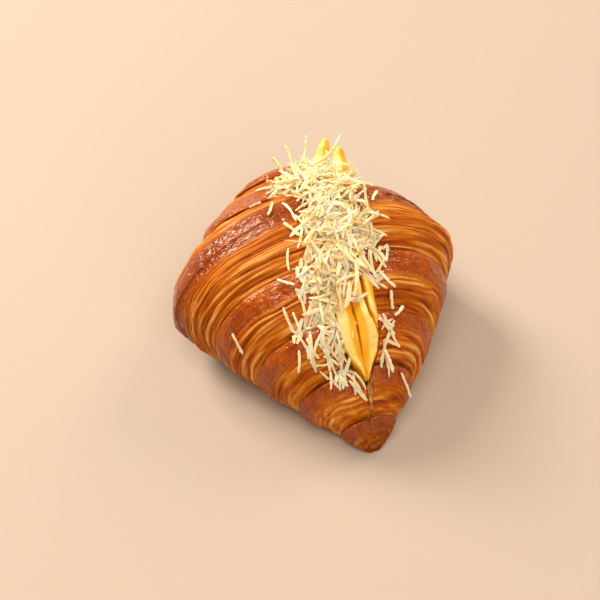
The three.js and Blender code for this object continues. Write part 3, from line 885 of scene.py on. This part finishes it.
class Roughening(SurfaceTree):
    """Moves a surface in and out by noise, for torn, pressed or knife-dragged faces."""

    def __init__(self, grain_mm: float, depth_mm: float, seed: float, inset_mm: float = 0.0) -> None:
        """Builds the tree.

        Args:
            grain_mm: Width of the unevenness.
            depth_mm: How far it moves the surface each way.
            seed: Picks the pattern.
            inset_mm: How far the whole surface moves in.
        """
        super().__init__(
            "roughening", {"Grain": grain_mm, "Depth": depth_mm, "Seed": seed, "Inset": inset_mm}
        )
        size = self.start.outputs
        place = self.add("GeometryNodeInputPosition")
        per_mm = self.add("ShaderNodeVectorMath", {0: place.outputs[0], "Scale": 1 / MM}, operation="SCALE")
        grain = self.add("ShaderNodeCombineXYZ", {0: size["Grain"], 1: size["Grain"], 2: size["Grain"]})
        at = self.add(
            "ShaderNodeVectorMath", {0: per_mm.outputs[0], 1: grain.outputs[0]}, operation="DIVIDE"
        )
        noise = self.add(
            "ShaderNodeTexNoise", {"Vector": at.outputs[0], "W": size["Seed"], "Scale": 1.0, "Detail": 3.0},
            noise_dimensions="4D",
        )
        centred = self.add(
            "ShaderNodeMath", {0: noise.outputs[0], 1: 2.0, 2: -1.0}, operation="MULTIPLY_ADD"
        )
        scaled = self.add("ShaderNodeMath", {0: centred.outputs[0], 1: size["Depth"]}, operation="MULTIPLY")
        inward = self.add("ShaderNodeMath", {0: scaled.outputs[0], 1: size["Inset"]}, operation="SUBTRACT")
        metres = self.add("ShaderNodeMath", {0: inward.outputs[0], 1: MM}, operation="MULTIPLY")
        normal = self.add("GeometryNodeInputNormal")
        offset = self.add(
            "ShaderNodeVectorMath", {0: normal.outputs[0], "Scale": metres.outputs[0]}, operation="SCALE"
        )
        moved = self.add("GeometryNodeSetPosition", {"Geometry": size[0], "Offset": offset.outputs[0]})
        self.finish(moved.outputs[0])


class ShredScatter(SurfaceTree):
    """Lays shreds from a collection over the upper side of a surface, in random headings and tilts."""

    def __init__(
        self, shreds: bpy.types.Collection, finish: bpy.types.Material, per_m2: float, seed: int
    ) -> None:
        """Builds the tree.

        Args:
            shreds: The shred shapes to pick from.
            finish: The material of the result.
            per_m2: Shreds on a square metre of surface.
            seed: Picks the arrangement.
        """
        super().__init__("shred_scatter", {
            "Per Square Metre": per_m2, "Highest Lift": 2.4, "Steepest Tilt": 0.5,
            "Shortest": 0.5, "Longest": 1.5,
        })
        size = self.start.outputs
        normal = self.add("GeometryNodeInputNormal")
        parts = self.add("ShaderNodeSeparateXYZ", {0: normal.outputs[0]})
        upward = self.add("ShaderNodeMath", {0: parts.outputs[2], 1: 0.12}, operation="GREATER_THAN")
        points = self.add(
            "GeometryNodeDistributePointsOnFaces",
            {
                "Mesh": size[0], "Selection": upward.outputs[0], "Density": size["Per Square Metre"],
                "Seed": seed,
            },
            distribute_method="RANDOM",
        )
        lift = self.add(
            "FunctionNodeRandomValue", {
                "Min": -0.3, "Max": size["Highest Lift"], "Seed": seed + 1
            }, data_type="FLOAT"
        )
        # Both random sockets of a kind share a name, so the shown pair is set by number below.
        lifted = self.add("ShaderNodeMath", {0: lift.outputs[1], 1: MM}, operation="MULTIPLY")
        rise = self.add(
            "ShaderNodeVectorMath", {
                0: points.outputs["Normal"], "Scale": lifted.outputs[0]
            }, operation="SCALE"
        )
        raised = self.add(
            "GeometryNodeSetPosition", {"Geometry": points.outputs["Points"], "Offset": rise.outputs[0]}
        )
        tilt = self.add("FunctionNodeRandomValue", {"Seed": seed + 2}, data_type="FLOAT")
        self.tree.links.new(size["Steepest Tilt"], tilt.inputs[3])
        tilt.inputs[2].default_value = -0.35
        heading = self.add("FunctionNodeRandomValue", {"Seed": seed + 3}, data_type="FLOAT")
        heading.inputs[2].default_value = 0.0
        heading.inputs[3].default_value = 2 * math.pi
        roll = self.add("FunctionNodeRandomValue", {"Seed": seed + 4}, data_type="FLOAT")
        roll.inputs[2].default_value = -0.6
        roll.inputs[3].default_value = 0.6
        turn_z = self.add("ShaderNodeCombineXYZ", {2: heading.outputs[1]})
        turn_xy = self.add("ShaderNodeCombineXYZ", {0: roll.outputs[1], 1: tilt.outputs[1]})
        first = self.add("FunctionNodeEulerToRotation", {0: turn_z.outputs[0]})
        second = self.add("FunctionNodeEulerToRotation", {0: turn_xy.outputs[0]})
        turned = self.add(
            "FunctionNodeRotateRotation", {
                0: points.outputs["Rotation"], 1: first.outputs[0]
            }, rotation_space="LOCAL"
        )
        turned = self.add(
            "FunctionNodeRotateRotation", {
                0: turned.outputs[0], 1: second.outputs[0]
            }, rotation_space="LOCAL"
        )
        pick = self.add("FunctionNodeRandomValue", {"Seed": seed + 5}, data_type="INT")
        pick.inputs[4].default_value = 0
        pick.inputs[5].default_value = len(shreds.objects) - 1
        length = self.add("FunctionNodeRandomValue", {"Seed": seed + 6}, data_type="FLOAT")
        self.tree.links.new(size["Shortest"], length.inputs[2])
        self.tree.links.new(size["Longest"], length.inputs[3])
        scale = self.add("ShaderNodeCombineXYZ", {0: length.outputs[1], 1: 1.0, 2: 1.0})
        shapes = self.add(
            "GeometryNodeCollectionInfo", {0: shreds, "Separate Children": True, "Reset Children": True}
        )
        laid = self.add("GeometryNodeInstanceOnPoints", {
            "Points": raised.outputs[0], "Instance": shapes.outputs[0], "Pick Instance": True,
            "Instance Index": pick.outputs[2], "Rotation": turned.outputs[0], "Scale": scale.outputs[0],
        })
        real = self.add("GeometryNodeRealizeInstances", {0: laid.outputs[0]})
        dressed = self.add("GeometryNodeSetMaterial", {"Geometry": real.outputs[0], "Material": finish})
        self.finish(dressed.outputs[0])


# ------------------------------------------------------------------ pieces
def hand_over(piece: bpy.types.Object, slot: str, *nodes: str) -> None:
    """Lets a finished piece stand for its CAD nodes on the one body.

    Args:
        piece: The finished piece.
        slot: The record's material slot; not used.
        *nodes: The CAD nodes that it replaces.
    """
    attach(piece, "root")
    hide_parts(*nodes)
    triangles = sum(len(face.vertices) - 2 for face in piece.data.polygons)
    LOG.info("piece %s: %d triangles, stands for %d nodes", piece.name, triangles, len(nodes))


@dataclass
class CroissantBody:
    """The baked body: plain body, layer relief, then the knife's cut."""

    stations: int = 560
    ring_points: int = 168
    cut_rows: int = 26
    cut_step_mm: float = 1.2
    tear_mm: float = 0.25
    seed: int = 5

    def places_along(self) -> Array:
        """Places along the spine, closer together beside the grooves."""
        fine = np.linspace(-SHAPE.far, SHAPE.near, 6000)
        density = np.ones_like(fine)
        for edge in SHAPE.edges[1:-1]:
            if edge != SHAPE.crown:
                density += 2.2 * np.exp(-((fine - edge) / 1.3) ** 2)
        density += 1.2 * np.exp(
            -((fine - SHAPE.near) / 4) ** 2
        ) + 1.2 * np.exp(-((fine + SHAPE.far) / 4) ** 2)
        reach = np.cumsum(density)
        reach = (reach - reach[0]) / (reach[-1] - reach[0])
        return np.interp(np.linspace(0, 1, self.stations + 2), reach, fine)

    def angles(self) -> Array:
        """Angles around the spine, closer together above the base."""
        fine = np.linspace(-np.pi, np.pi, 4001)
        density = np.where(np.abs(fine) < 2.1, 1.0, 0.45)
        reach = np.cumsum(density)
        reach = (reach - reach[0]) / (reach[-1] - reach[0])
        return np.interp(np.arange(self.ring_points) / self.ring_points, reach, fine)

    def masks(self, place: Array, angle: Array, points: Array) -> dict[str, Array]:
        """What the relief and the finish need to know at each point.

        Args:
            place: Places along the spine.
            angle: Angles around it.
            points: The points in the body's frame.

        Returns:
            Attribute name to values: along and around in mm, the rest from 0 to 1.
        """
        number, t, far = SHAPE.wrap_place(place)
        band_end = np.select(
            [
                (number == 1) & (far > 0), number == 1, (number == 2) & (far > 0), number == 5
            ], [0.34, 0.2, 0.62, 0.5], 0.44
        )
        start = np.where(number == 1, 1.0, smooth_step(0.0, 0.08, t))
        band = start * (1 - smooth_step(band_end - 0.14, band_end + 0.12, t))
        width = np.select([number == i + 1 for i in range(5)], SHAPE.near_wraps, 20.0)
        from_groove = np.where(number == 1, (1 - t) * width, np.minimum(t, 1 - t) * width)
        groove = np.exp(-(from_groove / 0.6) ** 2)
        under = smooth_step(0.0, 1.0, np.clip((3.5 - points[..., 2]) / 3.0, 0, 1)) * (np.abs(angle) > 1.7)
        radius = 0.5 * (
            np.abs(points[..., 1] - SHAPE.crest_y(points[..., 0])).max(axis=-1, keepdims=True) + 40
        )
        tip = smooth_step(SHAPE.near - 9, SHAPE.near - 3, place)
        crown_glaze = band * (number == 1)
        return {
            "along": place + 0 * angle,
            "around": angle * np.maximum(radius, 14),
            "band": band * (1 - under),
            "layers": (1 - band) * (1 - under) * (1 - 0.8 * groove),
            # Darkening along the grooves: partly darker brown, partly painted shade in the creases between
            # wraps.
            "groove": groove * 0.6 * (1 - under),
            "under": under,
            "shade": np.maximum(0.5 * tip, 0.55 * crown_glaze),
        }

    def plain_body(self) -> bpy.types.Object:
        """Makes the closed body with its attributes.

        Returns:
            The body before its relief and its cut.
        """
        place = self.places_along()[1:-1]
        place, angle = np.meshgrid(place, self.angles(), indexing="ij")
        points = SHAPE.crust_point(place, angle)
        ends = SHAPE.crust_point(np.array([-SHAPE.far, SHAPE.near]), np.zeros(2))
        vertices = np.concatenate([points.reshape(-1, 3), ends])
        rows, columns = place.shape
        faces = [tuple(f[::-1]) for f in grid_faces(rows, columns)]
        last = (rows - 1) * columns
        tip = rows * columns
        for j in range(columns):
            k = (j + 1) % columns
            faces.append((j, k, tip))
            faces.append((last + k, last + j, tip + 1))
        made = mesh_object("croissant_body", SHAPE.placed(vertices), faces)
        masks = self.masks(place, angle, points)
        for name, values in masks.items():
            set_attribute(
                made.data, name, np.concatenate([values.ravel(), values.reshape(rows, -1)[[0, -1], 0]])
            )
        return made

    def knife(self) -> bpy.types.Object:
        """Makes the closed solid that the knife takes out, with torn walls.

        Returns:
            The solid.
        """
        rng = np.random.default_rng(self.seed)
        count = int((SHAPE.far + SHAPE.near + 8) / self.cut_step_mm)
        x = np.linspace(-SHAPE.far - 4, SHAPE.near + 4, count)
        floor = SHAPE.floor_height(x)
        lip = np.maximum(SHAPE.lip_height(x), floor + 8)
        top = lip + 0.25 * (lip - floor)
        share = np.linspace(0, 1, self.cut_rows)
        z = floor[:, None] + (top - floor)[:, None] * share[None]
        columns = []
        for side, order in ((Side.LEFT, slice(None, None, -1)), (Side.RIGHT, slice(None))):
            y = SHAPE.wall_y(x[:, None] + 0 * z, z, side)
            y = y + rng.normal(
                0, self.tear_mm, z.shape
            ) * np.minimum(1, np.abs(y - SHAPE.knife_y(x)[:, None]) / 3)
            wall = np.stack([x[:, None] + 0 * z, y, z], -1)
            columns.append(wall[:, order])
        roof_height = SHAPE.height + 30
        roof = [np.stack([x, c[:, i, 1], np.full_like(x, roof_height)], -1)[:, None] for c, i in
                ((columns[0], 0), (columns[1], -1))]
        rings = np.concatenate([roof[0], columns[0], columns[1], roof[1]], axis=1)
        rows, points = rings.shape[:2]
        faces = [tuple(f) for f in grid_faces(rows, points)]
        faces.append(tuple(range(points)[::-1]))
        faces.append(tuple(range((rows - 1) * points, rows * points)))
        made = mesh_object("knife", SHAPE.placed(rings.reshape(-1, 3)), faces)
        mesh = bmesh.new()
        mesh.from_mesh(made.data)
        bmesh.ops.recalc_face_normals(mesh, faces=mesh.faces)
        bmesh.ops.triangulate(mesh, faces=[f for f in mesh.faces if len(f.verts) > 4])
        mesh.to_mesh(made.data)
        mesh.free()
        return made

    def build(self, crust: bpy.types.Material, crumb: bpy.types.Material) -> bpy.types.Object:
        """Makes the finished body.

        Args:
            crust: The material of the outside.
            crumb: The material of the cut faces.

        Returns:
            The finished piece.
        """
        made = LayerRelief().run(self.plain_body())
        knife = self.knife()
        for solid, number in ((made, 0), (knife, 1)):
            solid.data.materials.clear()
            solid.data.materials.append(crust)
            solid.data.materials.append(crumb)
            solid.data.polygons.foreach_set("material_index", [number] * len(solid.data.polygons))
        cut = made.modifiers.new("cut", "BOOLEAN")
        cut.operation = "DIFFERENCE"
        cut.solver = "MANIFOLD"
        cut.object = knife
        as_plain_mesh(made)
        bpy.data.objects.remove(knife)
        made.data.polygons.foreach_set("use_smooth", [True] * len(made.data.polygons))
        crumb_faces = sum(face.material_index == 1 for face in made.data.polygons)
        LOG.info("cut faces: %d, materials %s", crumb_faces, [m.name for m in made.data.materials])
        hand_over(made, "crust", "croissant")
        return made


def shred_mesh(
    path: Array, normal: Array, width: float, thickness: float, rng: np.random.Generator
) -> tuple[Array, list]:
    """A ribbon of cheese with rough edges along a path.

    Args:
        path: Points of its centreline in metres.
        normal: The direction of its broad face.
        width: Its width in metres.
        thickness: Its thickness in metres.
        rng: Source of the roughness.

    Returns:
        Its points and its faces.
    """
    along = np.gradient(path, axis=0)
    along /= np.linalg.norm(along, axis=1, keepdims=True)
    across = np.cross(normal, along)
    across /= np.linalg.norm(across, axis=1, keepdims=True)
    up = np.cross(along, across)
    count = len(path)
    taper = np.ones(count)
    taper[[0, -1]] = 0.55
    rings = []
    for side, rise in ((-1, -1), (0, -1.1), (1, -1), (1, 1), (0, 1.15), (-1, 1)):
        rough = 1 + rng.normal(0, 0.24, (count, 1))
        rings.append(
            path + across * (side * width / 2 * taper[:, None] * rough)
            + up * (rise * thickness / 2 * taper[:, None] * (1 + rng.normal(0, 0.1, (count, 1))))
        )
    points = np.stack(rings, axis=1)
    sides = points.shape[1]
    faces = [tuple(f) for f in grid_faces(count, sides)]
    faces.append(tuple(range(sides))[::-1])
    faces.append(tuple(range((count - 1) * sides, count * sides)))
    return points.reshape(-1, 3), faces


@dataclass
class CheeseSlice:
    """One slice standing in the cut: its CAD solid with soft, slightly torn edges and uneven faces."""

    node: str
    golden_side: Side = Side.RIGHT
    slope_mm: float = 2.2
    lean_mm: float = 0.6
    voxel_mm: float = 0.5
    uneven_mm: float = 0.3
    torn: float = 1.0

    def slope_top(self, made: bpy.types.Object) -> None:
        """Slopes the top down towards one side and marks the pale, upward-facing part of the slice as painted
        light; the rest takes the deeper golden as painted shade.

        Args:
            made: The slice, which is changed in place.
        """
        corners = np.array([v.co for v in frame["nodes"][self.node].data.vertices]) / MM
        stations = np.unique(corners[:, 0].round(2))
        rows = [corners[np.abs(corners[:, 0] - x) < 0.02] for x in stations]
        crest = np.array([r[:, 2].max() for r in rows])
        tops = [r[r[:, 2] > top - 1.5] for r, top in zip(rows, crest)]
        left = np.array([r[:, 1].min() for r in tops])
        right = np.array([r[:, 1].max() for r in tops])
        mesh = made.data
        points = np.zeros(len(mesh.vertices) * 3)
        mesh.vertices.foreach_get("co", points)
        points = points.reshape(-1, 3) / MM
        x, y, z = points.T
        share = (y - np.interp(x, stations, left)) / np.maximum(np.interp(x, stations, right - left), 1.0)
        share = share if self.golden_side is Side.RIGHT else 1 - share
        near_top = smooth_step(-6.0, -1.0, z - np.interp(x, stations, crest))
        sloped = smooth_step(0.5, 1.0, share) * near_top
        points[:, 2] -= self.slope_mm * sloped
        points[:, 1] += self.golden_side.value * self.lean_mm * smooth_step(0.6, 1.0, share)
        mesh.vertices.foreach_set("co", (points * MM).ravel())
        mesh.update()
        normals = np.zeros(len(mesh.vertices) * 3)
        mesh.vertices.foreach_get("normal", normals)
        # Faces that point up are marked for the pale colour, painted light; the sides and the sloped side get
        # the deeper golden, painted shade.
        upward = smooth_step(0.3, 0.75, normals.reshape(-1, 3)[:, 2])
        set_attribute(mesh, "lit_top_face", upward * (1 - smooth_step(0.5, 0.72, share)))

    def build(self, finish: bpy.types.Material, seed: float) -> bpy.types.Object:
        """Makes the finished slice.

        Args:
            finish: Its material.
            seed: Picks its unevenness.

        Returns:
            The finished piece.
        """
        source = bmesh.new()
        source.from_mesh(frame["nodes"][self.node].data)
        bmesh.ops.remove_doubles(source, verts=source.verts, dist=1e-6)
        mesh = bpy.data.meshes.new(self.node + "_detailed")
        source.to_mesh(mesh)
        source.free()
        made = bpy.data.objects.new(self.node + "_detailed", mesh)
        bpy.context.scene.collection.objects.link(made)
        remesh = made.modifiers.new("even", "REMESH")
        remesh.mode = "VOXEL"
        remesh.voxel_size = self.voxel_mm * MM
        soften = made.modifiers.new("soft_edges", "SMOOTH")
        soften.factor = 0.5
        soften.iterations = 5
        as_plain_mesh(made)
        Roughening(5.0, self.uneven_mm * self.torn, seed).run(made)
        Roughening(1.3, 0.11 * self.torn, seed + 1).run(made)
        mesh = made.data
        mesh.polygons.foreach_set("use_smooth", [True] * len(mesh.polygons))
        self.slope_top(made)
        mesh.materials.clear()
        mesh.materials.append(finish)
        hand_over(made, "slice_cheese", self.node)
        return made


@dataclass
class LooseShred:
    """One shred lying on the crust, in the place of its CAD solid."""

    node: str
    points: int = 13
    bend_mm: float = 0.5

    def build(self, finish: bpy.types.Material, rng: np.random.Generator) -> bpy.types.Object:
        """Makes the finished shred.

        Args:
            finish: Its material.
            rng: Source of its bends and rough edges.

        Returns:
            The finished piece.
        """
        corners = np.array([v.co for v in frame["nodes"][self.node].data.vertices])
        corners = np.unique(corners.round(7), axis=0)
        centre = corners.mean(axis=0)
        axes = np.linalg.svd(corners - centre)[2]
        reach = np.abs((corners - centre) @ axes.T).max(axis=0)
        normal = axes[2] * np.sign(axes[2][2] or 1)
        t = np.linspace(-1, 1, self.points)[:, None]
        bow = self.bend_mm * MM * rng.uniform(0.1, 1.0)
        sway = self.bend_mm * MM * rng.uniform(-1.2, 1.2)
        path = centre + axes[0] * reach[0] * t + normal * bow * (1 - t ** 2) + axes[1] * sway * (t ** 2 - 0.4)
        width = 2 * reach[1] * rng.uniform(0.5, 0.8)
        vertices, faces = shred_mesh(path, normal, width, 2 * reach[2] * rng.uniform(0.6, 0.8), rng)
        made = mesh_object(self.node + "_detailed", vertices, faces, smooth=False)
        made.data.materials.append(finish)
        hand_over(made, "grated_cheese", self.node)
        return made


@dataclass
class GratedHeap:
    """The heap: a core in deeper yellow, painted shade between the shreds, and several hundred shreds laid
    over it.
    """

    shred_shapes: int = 12
    shred_length_mm: float = 13.0
    shred_width_mm: float = 1.25
    shred_thickness_mm: float = 0.42
    standing_width_mm: float = 2.0
    standing_thickness_mm: float = 0.8
    per_m2: float = 290000.0
    core_inset_mm: float = 0.8
    core_voxel_mm: float = 0.85
    seed: int = 11
    standing: tuple = field(default_factory=lambda: (
        # start x, y, z, end x, y, z and sideways bow, all in mm in the body's frame
        (-45, 7, 46, -59, 6, 56, 0.6),
        (-42, 3, 45, -56, -1, 53, 1.0),
        (-40, 13, 60, -46, 28, 68, 2.2),
        (-46, 2, 42, -50, -6, 45, 0.5),
        (-48, 10, 52, -58, 16, 60, 0.8),
    ))
    strewn: tuple = field(default_factory=lambda: (
        # x, place from the knife line, spread, how many shreds lie there, height over the crust (mm)
        (-8, -14, 4, 8, 1), (2, -16, 4.5, 10, 1), (8, -14, 4, 9, 1), (16, -16, 4, 9, 1),
        (22, -17, 3, 7, 1), (30, -15, 3.5, 9, 1), (38, -14, 3, 9, 1), (44, -13, 3, 8, 1),
        (50, -10, 2.2, 7, 1), (54, -7, 1.8, 4, 1), (-2, 8, 3, 7, 1), (6, 11, 3, 9, 1), (14, 12, 3, 8, 1),
        (22, 10, 2.5, 6, 1), (41, 12, 1.6, 4, 1), (50, 9, 1.4, 3, 1), (-28, -23, 3.5, 7, 1),
        (-38, -24, 3.5, 6, 1), (-22, -16, 3.5, 8, 1), (34, -21, 2, 3, 1), (41, -21, 1.6, 5, 1),
        (26, -2, 2.5, 10, 6), (18, 5, 2.5, 8, 5), (30, -13, 2.4, 8, 2),
    ))

    def shapes(self, rng: np.random.Generator) -> bpy.types.Collection:
        """Makes the shred shapes that the heap is laid from.

        Args:
            rng: Source of their sizes, bends and rough edges.

        Returns:
            A collection that holds them.
        """
        shapes = bpy.data.collections.new("shred_shapes")
        for i in range(self.shred_shapes):
            t = np.linspace(-1, 1, 5)
            half = self.shred_length_mm * MM / 2 * rng.uniform(0.8, 1.15)
            bow = half * rng.uniform(-0.1, 0.16)
            sway = half * rng.uniform(-0.16, 0.16)
            path = np.stack([t * half, sway * (1 - t ** 2), bow * (1 - t ** 2)], -1)
            vertices, faces = shred_mesh(
                path, np.array([0.0, 0.0, 1.0]), self.shred_width_mm * MM * rng.uniform(0.7, 1.25),
                self.shred_thickness_mm * MM * rng.uniform(0.8, 1.3), rng,
            )
            shape = mesh_object(f"shred_shape_{i:02d}", vertices, faces, smooth=False)
            bpy.context.scene.collection.objects.unlink(shape)
            shapes.objects.link(shape)
        return shapes

    def core(self, finish: bpy.types.Material) -> bpy.types.Object:
        """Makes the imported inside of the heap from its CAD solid.

        Args:
            finish: Its material.

        Returns:
            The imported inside.
        """
        source = bmesh.new()
        source.from_mesh(frame["nodes"]["grated_cheese_heap"].data)
        bmesh.ops.remove_doubles(source, verts=source.verts, dist=1e-6)
        mesh = bpy.data.meshes.new("heap_core")
        source.to_mesh(mesh)
        source.free()
        made = bpy.data.objects.new("heap_core", mesh)
        bpy.context.scene.collection.objects.link(made)
        remesh = made.modifiers.new("even", "REMESH")
        remesh.mode = "VOXEL"
        remesh.voxel_size = self.core_voxel_mm * MM
        soften = made.modifiers.new("soft", "SMOOTH")
        soften.factor = 0.5
        soften.iterations = 6
        as_plain_mesh(made)
        Roughening(1.6, 0.7, 3.0).run(made)
        made.data.polygons.foreach_set("use_smooth", [True] * len(made.data.polygons))
        made.data.materials.clear()
        made.data.materials.append(finish)
        return made

    def standing_shreds(
        self, rng: np.random.Generator, finish: bpy.types.Material
    ) -> list[bpy.types.Object]:
        """Makes the long shreds that stand out of the far end of the heap.

        Args:
            rng: Source of their rough edges.
            finish: Their material.

        Returns:
            The shreds.
        """
        made = []
        for x0, y0, z0, x1, y1, z1, bow in self.standing:
            start, end = SHAPE.placed([x0, y0, z0]), SHAPE.placed([x1, y1, z1])
            t = np.linspace(0, 1, 14)[:, None]
            side = np.cross(end - start, [0.0, 0.0, 1.0])
            side /= np.linalg.norm(side)
            path = start + (end - start) * t + side * bow * MM * 4 * t * (1 - t)
            vertices, faces = shred_mesh(
                path, side, self.standing_width_mm * MM, self.standing_thickness_mm * MM, rng
            )
            shred = mesh_object("standing_shred", vertices, faces, smooth=False)
            shred.data.materials.append(finish)
            made.append(shred)
        return made

    def strewn_shreds(self, rng: np.random.Generator, finish: bpy.types.Material) -> bpy.types.Object:
        """Makes the shreds that lie beside the heap, crossing each other and following the crust.

        Args:
            rng: Source of their places, bends and rough edges.
            finish: Their material.

        Returns:
            All of them in one mesh.
        """
        all_points, all_faces, total = [], [], 0
        for x, from_knife, spread, count, high in self.strewn:
            for _ in range(count):
                at = np.array([x, SHAPE.knife_y(x) + from_knife]) + rng.normal(0, spread, 2)
                heading = rng.uniform(0, math.tau)
                t = np.linspace(-0.5, 0.5, 6)[:, None] * rng.uniform(5, 12)
                bend = rng.uniform(-0.8, 0.8) * (t / 5) ** 2
                ahead = np.array([[math.cos(heading), math.sin(heading)]])
                spots = at + ahead * t + np.array([[-ahead[0, 1], ahead[0, 0]]]) * bend
                point, normal = SHAPE.crust_above(spots[:, 0], spots[:, 1])
                lift = rng.uniform(0.4, 1.7) * high + rng.uniform(0, 0.35) * (
                    np.linspace(-1, 1, 6)[:, None]
                ) * rng.choice([-1, 1])
                path = SHAPE.placed(point + normal * lift)
                width = self.shred_width_mm * rng.uniform(0.7, 1.3) * MM
                vertices, faces = shred_mesh(
                    path, normal.mean(axis=0), width, self.shred_thickness_mm * MM, rng
                )
                all_points.append(vertices)
                all_faces += [tuple(i + total for i in f) for f in faces]
                total += len(vertices)
        made = mesh_object("strewn_shreds", np.concatenate(all_points), all_faces, smooth=False)
        made.data.materials.append(finish)
        return made

    def build(self, finish: bpy.types.Material, core_painted_shade: bpy.types.Material) -> bpy.types.Object:
        """Makes the finished heap.

        Args:
            finish: The material of its shreds.
            core_painted_shade: The deeper yellow material of the core, painted shade between the shreds.

        Returns:
            The finished piece.
        """
        rng = np.random.default_rng(self.seed)
        core = self.core(core_painted_shade)
        laid = core.copy()
        laid.data = core.data.copy()
        laid.name = "grated_cheese"
        bpy.context.scene.collection.objects.link(laid)
        shapes = self.shapes(rng)
        ShredScatter(shapes, finish, self.per_m2, self.seed).run(laid)
        Roughening(3.0, 0.0, 4.0, self.core_inset_mm).run(core)
        parts = [laid, core, self.strewn_shreds(rng, finish), *self.standing_shreds(rng, finish)]
        with bpy.context.temp_override(
            active_object=laid, selected_editable_objects=parts, selected_objects=parts
        ):
            bpy.ops.object.join()
        for shape in list(shapes.objects):
            bpy.data.objects.remove(shape)
        bpy.data.collections.remove(shapes)
        hand_over(laid, "grated_cheese", "grated_cheese_heap")
        return laid


# ------------------------------------------------------------------ studio
@dataclass
class Studio:
    """Plain pale floor, soft light from behind on the left and a camera looking down at the croissant."""

    target_mm: tuple[float, float, float] = (-12.04, -1.98, 0.0)
    camera_mm: tuple[float, float, float] = (278.9, -96.5, 436.9)
    lens_mm: float = 67.7
    floor_half: float = 2.5
    lights: tuple = (
        # name, place in metres, size in metres, power in watts, colour
        ("key", (-1.3, -0.75, 1.2), 0.75, 46.0, "#FFEEDA"),
        ("back", (-0.85, 1.5, 1.25), 0.8, 16.0, "#FFEEDA"),
        ("top", (0.15, -0.35, 2.0), 1.2, 18.0, "#FFEEDA"),
        ("fill", (1.6, 0.3, 1.3), 1.6, 18.0, "#FFEBD6"),
    )
    surroundings: str = "#FFE2C6"
    surroundings_strength: float = 0.26

    def camera(self) -> None:
        """Places the camera and makes it the scene's camera."""
        data = bpy.data.cameras.new("camera")
        data.lens = self.lens_mm
        data.sensor_width = 36.0
        data.clip_start = 0.01
        camera = bpy.data.objects.new("camera", data)
        camera.location = SHAPE.placed(self.camera_mm)
        aim = Vector(SHAPE.placed(self.target_mm)) - camera.location
        camera.rotation_euler = aim.to_track_quat("-Z", "Y").to_euler()
        bpy.context.scene.collection.objects.link(camera)
        bpy.context.scene.camera = camera

    def light(
        self, name: str, place: tuple[float, float, float], size: float, power: float, colour: str
    ) -> None:
        """Adds one soft light that faces the croissant.

        Args:
            name: The light's name.
            place: Where it hangs, in metres.
            size: Width of its square face in metres.
            power: Its power in watts.
            colour: Its sRGB hex colour.
        """
        data = bpy.data.lights.new(name, "AREA")
        data.shape = "SQUARE"
        data.size = size
        data.energy = power
        data.color = linear(colour)[:3]
        lamp = bpy.data.objects.new(name, data)
        lamp.location = place
        lamp.rotation_euler = (Vector((0, 0, 0.03)) - lamp.location).to_track_quat("-Z", "Y").to_euler()
        bpy.context.scene.collection.objects.link(lamp)

    def build(self) -> None:
        """Makes floor, lights, surroundings and camera."""
        half = self.floor_half
        corners = np.array([(-half, -half, 0), (half, -half, 0), (half, half, 0), (-half, half, 0)], float)
        floor = mesh_object("floor", corners, [(0, 1, 2, 3)], smooth=False)
        floor.data.materials.append(PaleTable().build())
        for lamp in self.lights:
            self.light(*lamp)
        world = bpy.data.worlds.new("surroundings")
        world.use_nodes = True
        background = world.node_tree.nodes["Background"]
        background.inputs["Color"].default_value = linear(self.surroundings)
        background.inputs["Strength"].default_value = self.surroundings_strength
        bpy.context.scene.world = world
        bpy.context.scene.view_settings.view_transform = "Standard"
        self.camera()


def main() -> None:
    """Builds every piece in order."""
    Studio().build()
    crust, crumb = LaminatedCrust().build(), OpenCrumb().build()
    cheese, grated = CutCheese().build(), GratedCheese().build()
    CroissantBody().build(crust, crumb)
    nodes = sorted(frame["nodes"])
    for i, node in enumerate(n for n in nodes if n.startswith("cheese_slice")):
        torn = 2.2 if node.endswith("back") else 1.0
        golden_side = Side.LEFT if node.endswith("near_right") else Side.RIGHT
        CheeseSlice(node, golden_side, torn=torn).build(cheese, 10.0 * i)
    rng = np.random.default_rng(23)
    for node in (n for n in nodes if n.startswith("cheese_shred")):
        LooseShred(node).build(grated, rng)
    # The core's deeper orange-yellow is painted shade between the shreds.
    core_painted_shade = GratedCheese("firm_cheese_grated_core_shade", ("#FFB644", "#FFC964", "#FFDB90")).build()
    GratedHeap().build(grated, core_painted_shade)


if __name__ == "__main__":
    main()
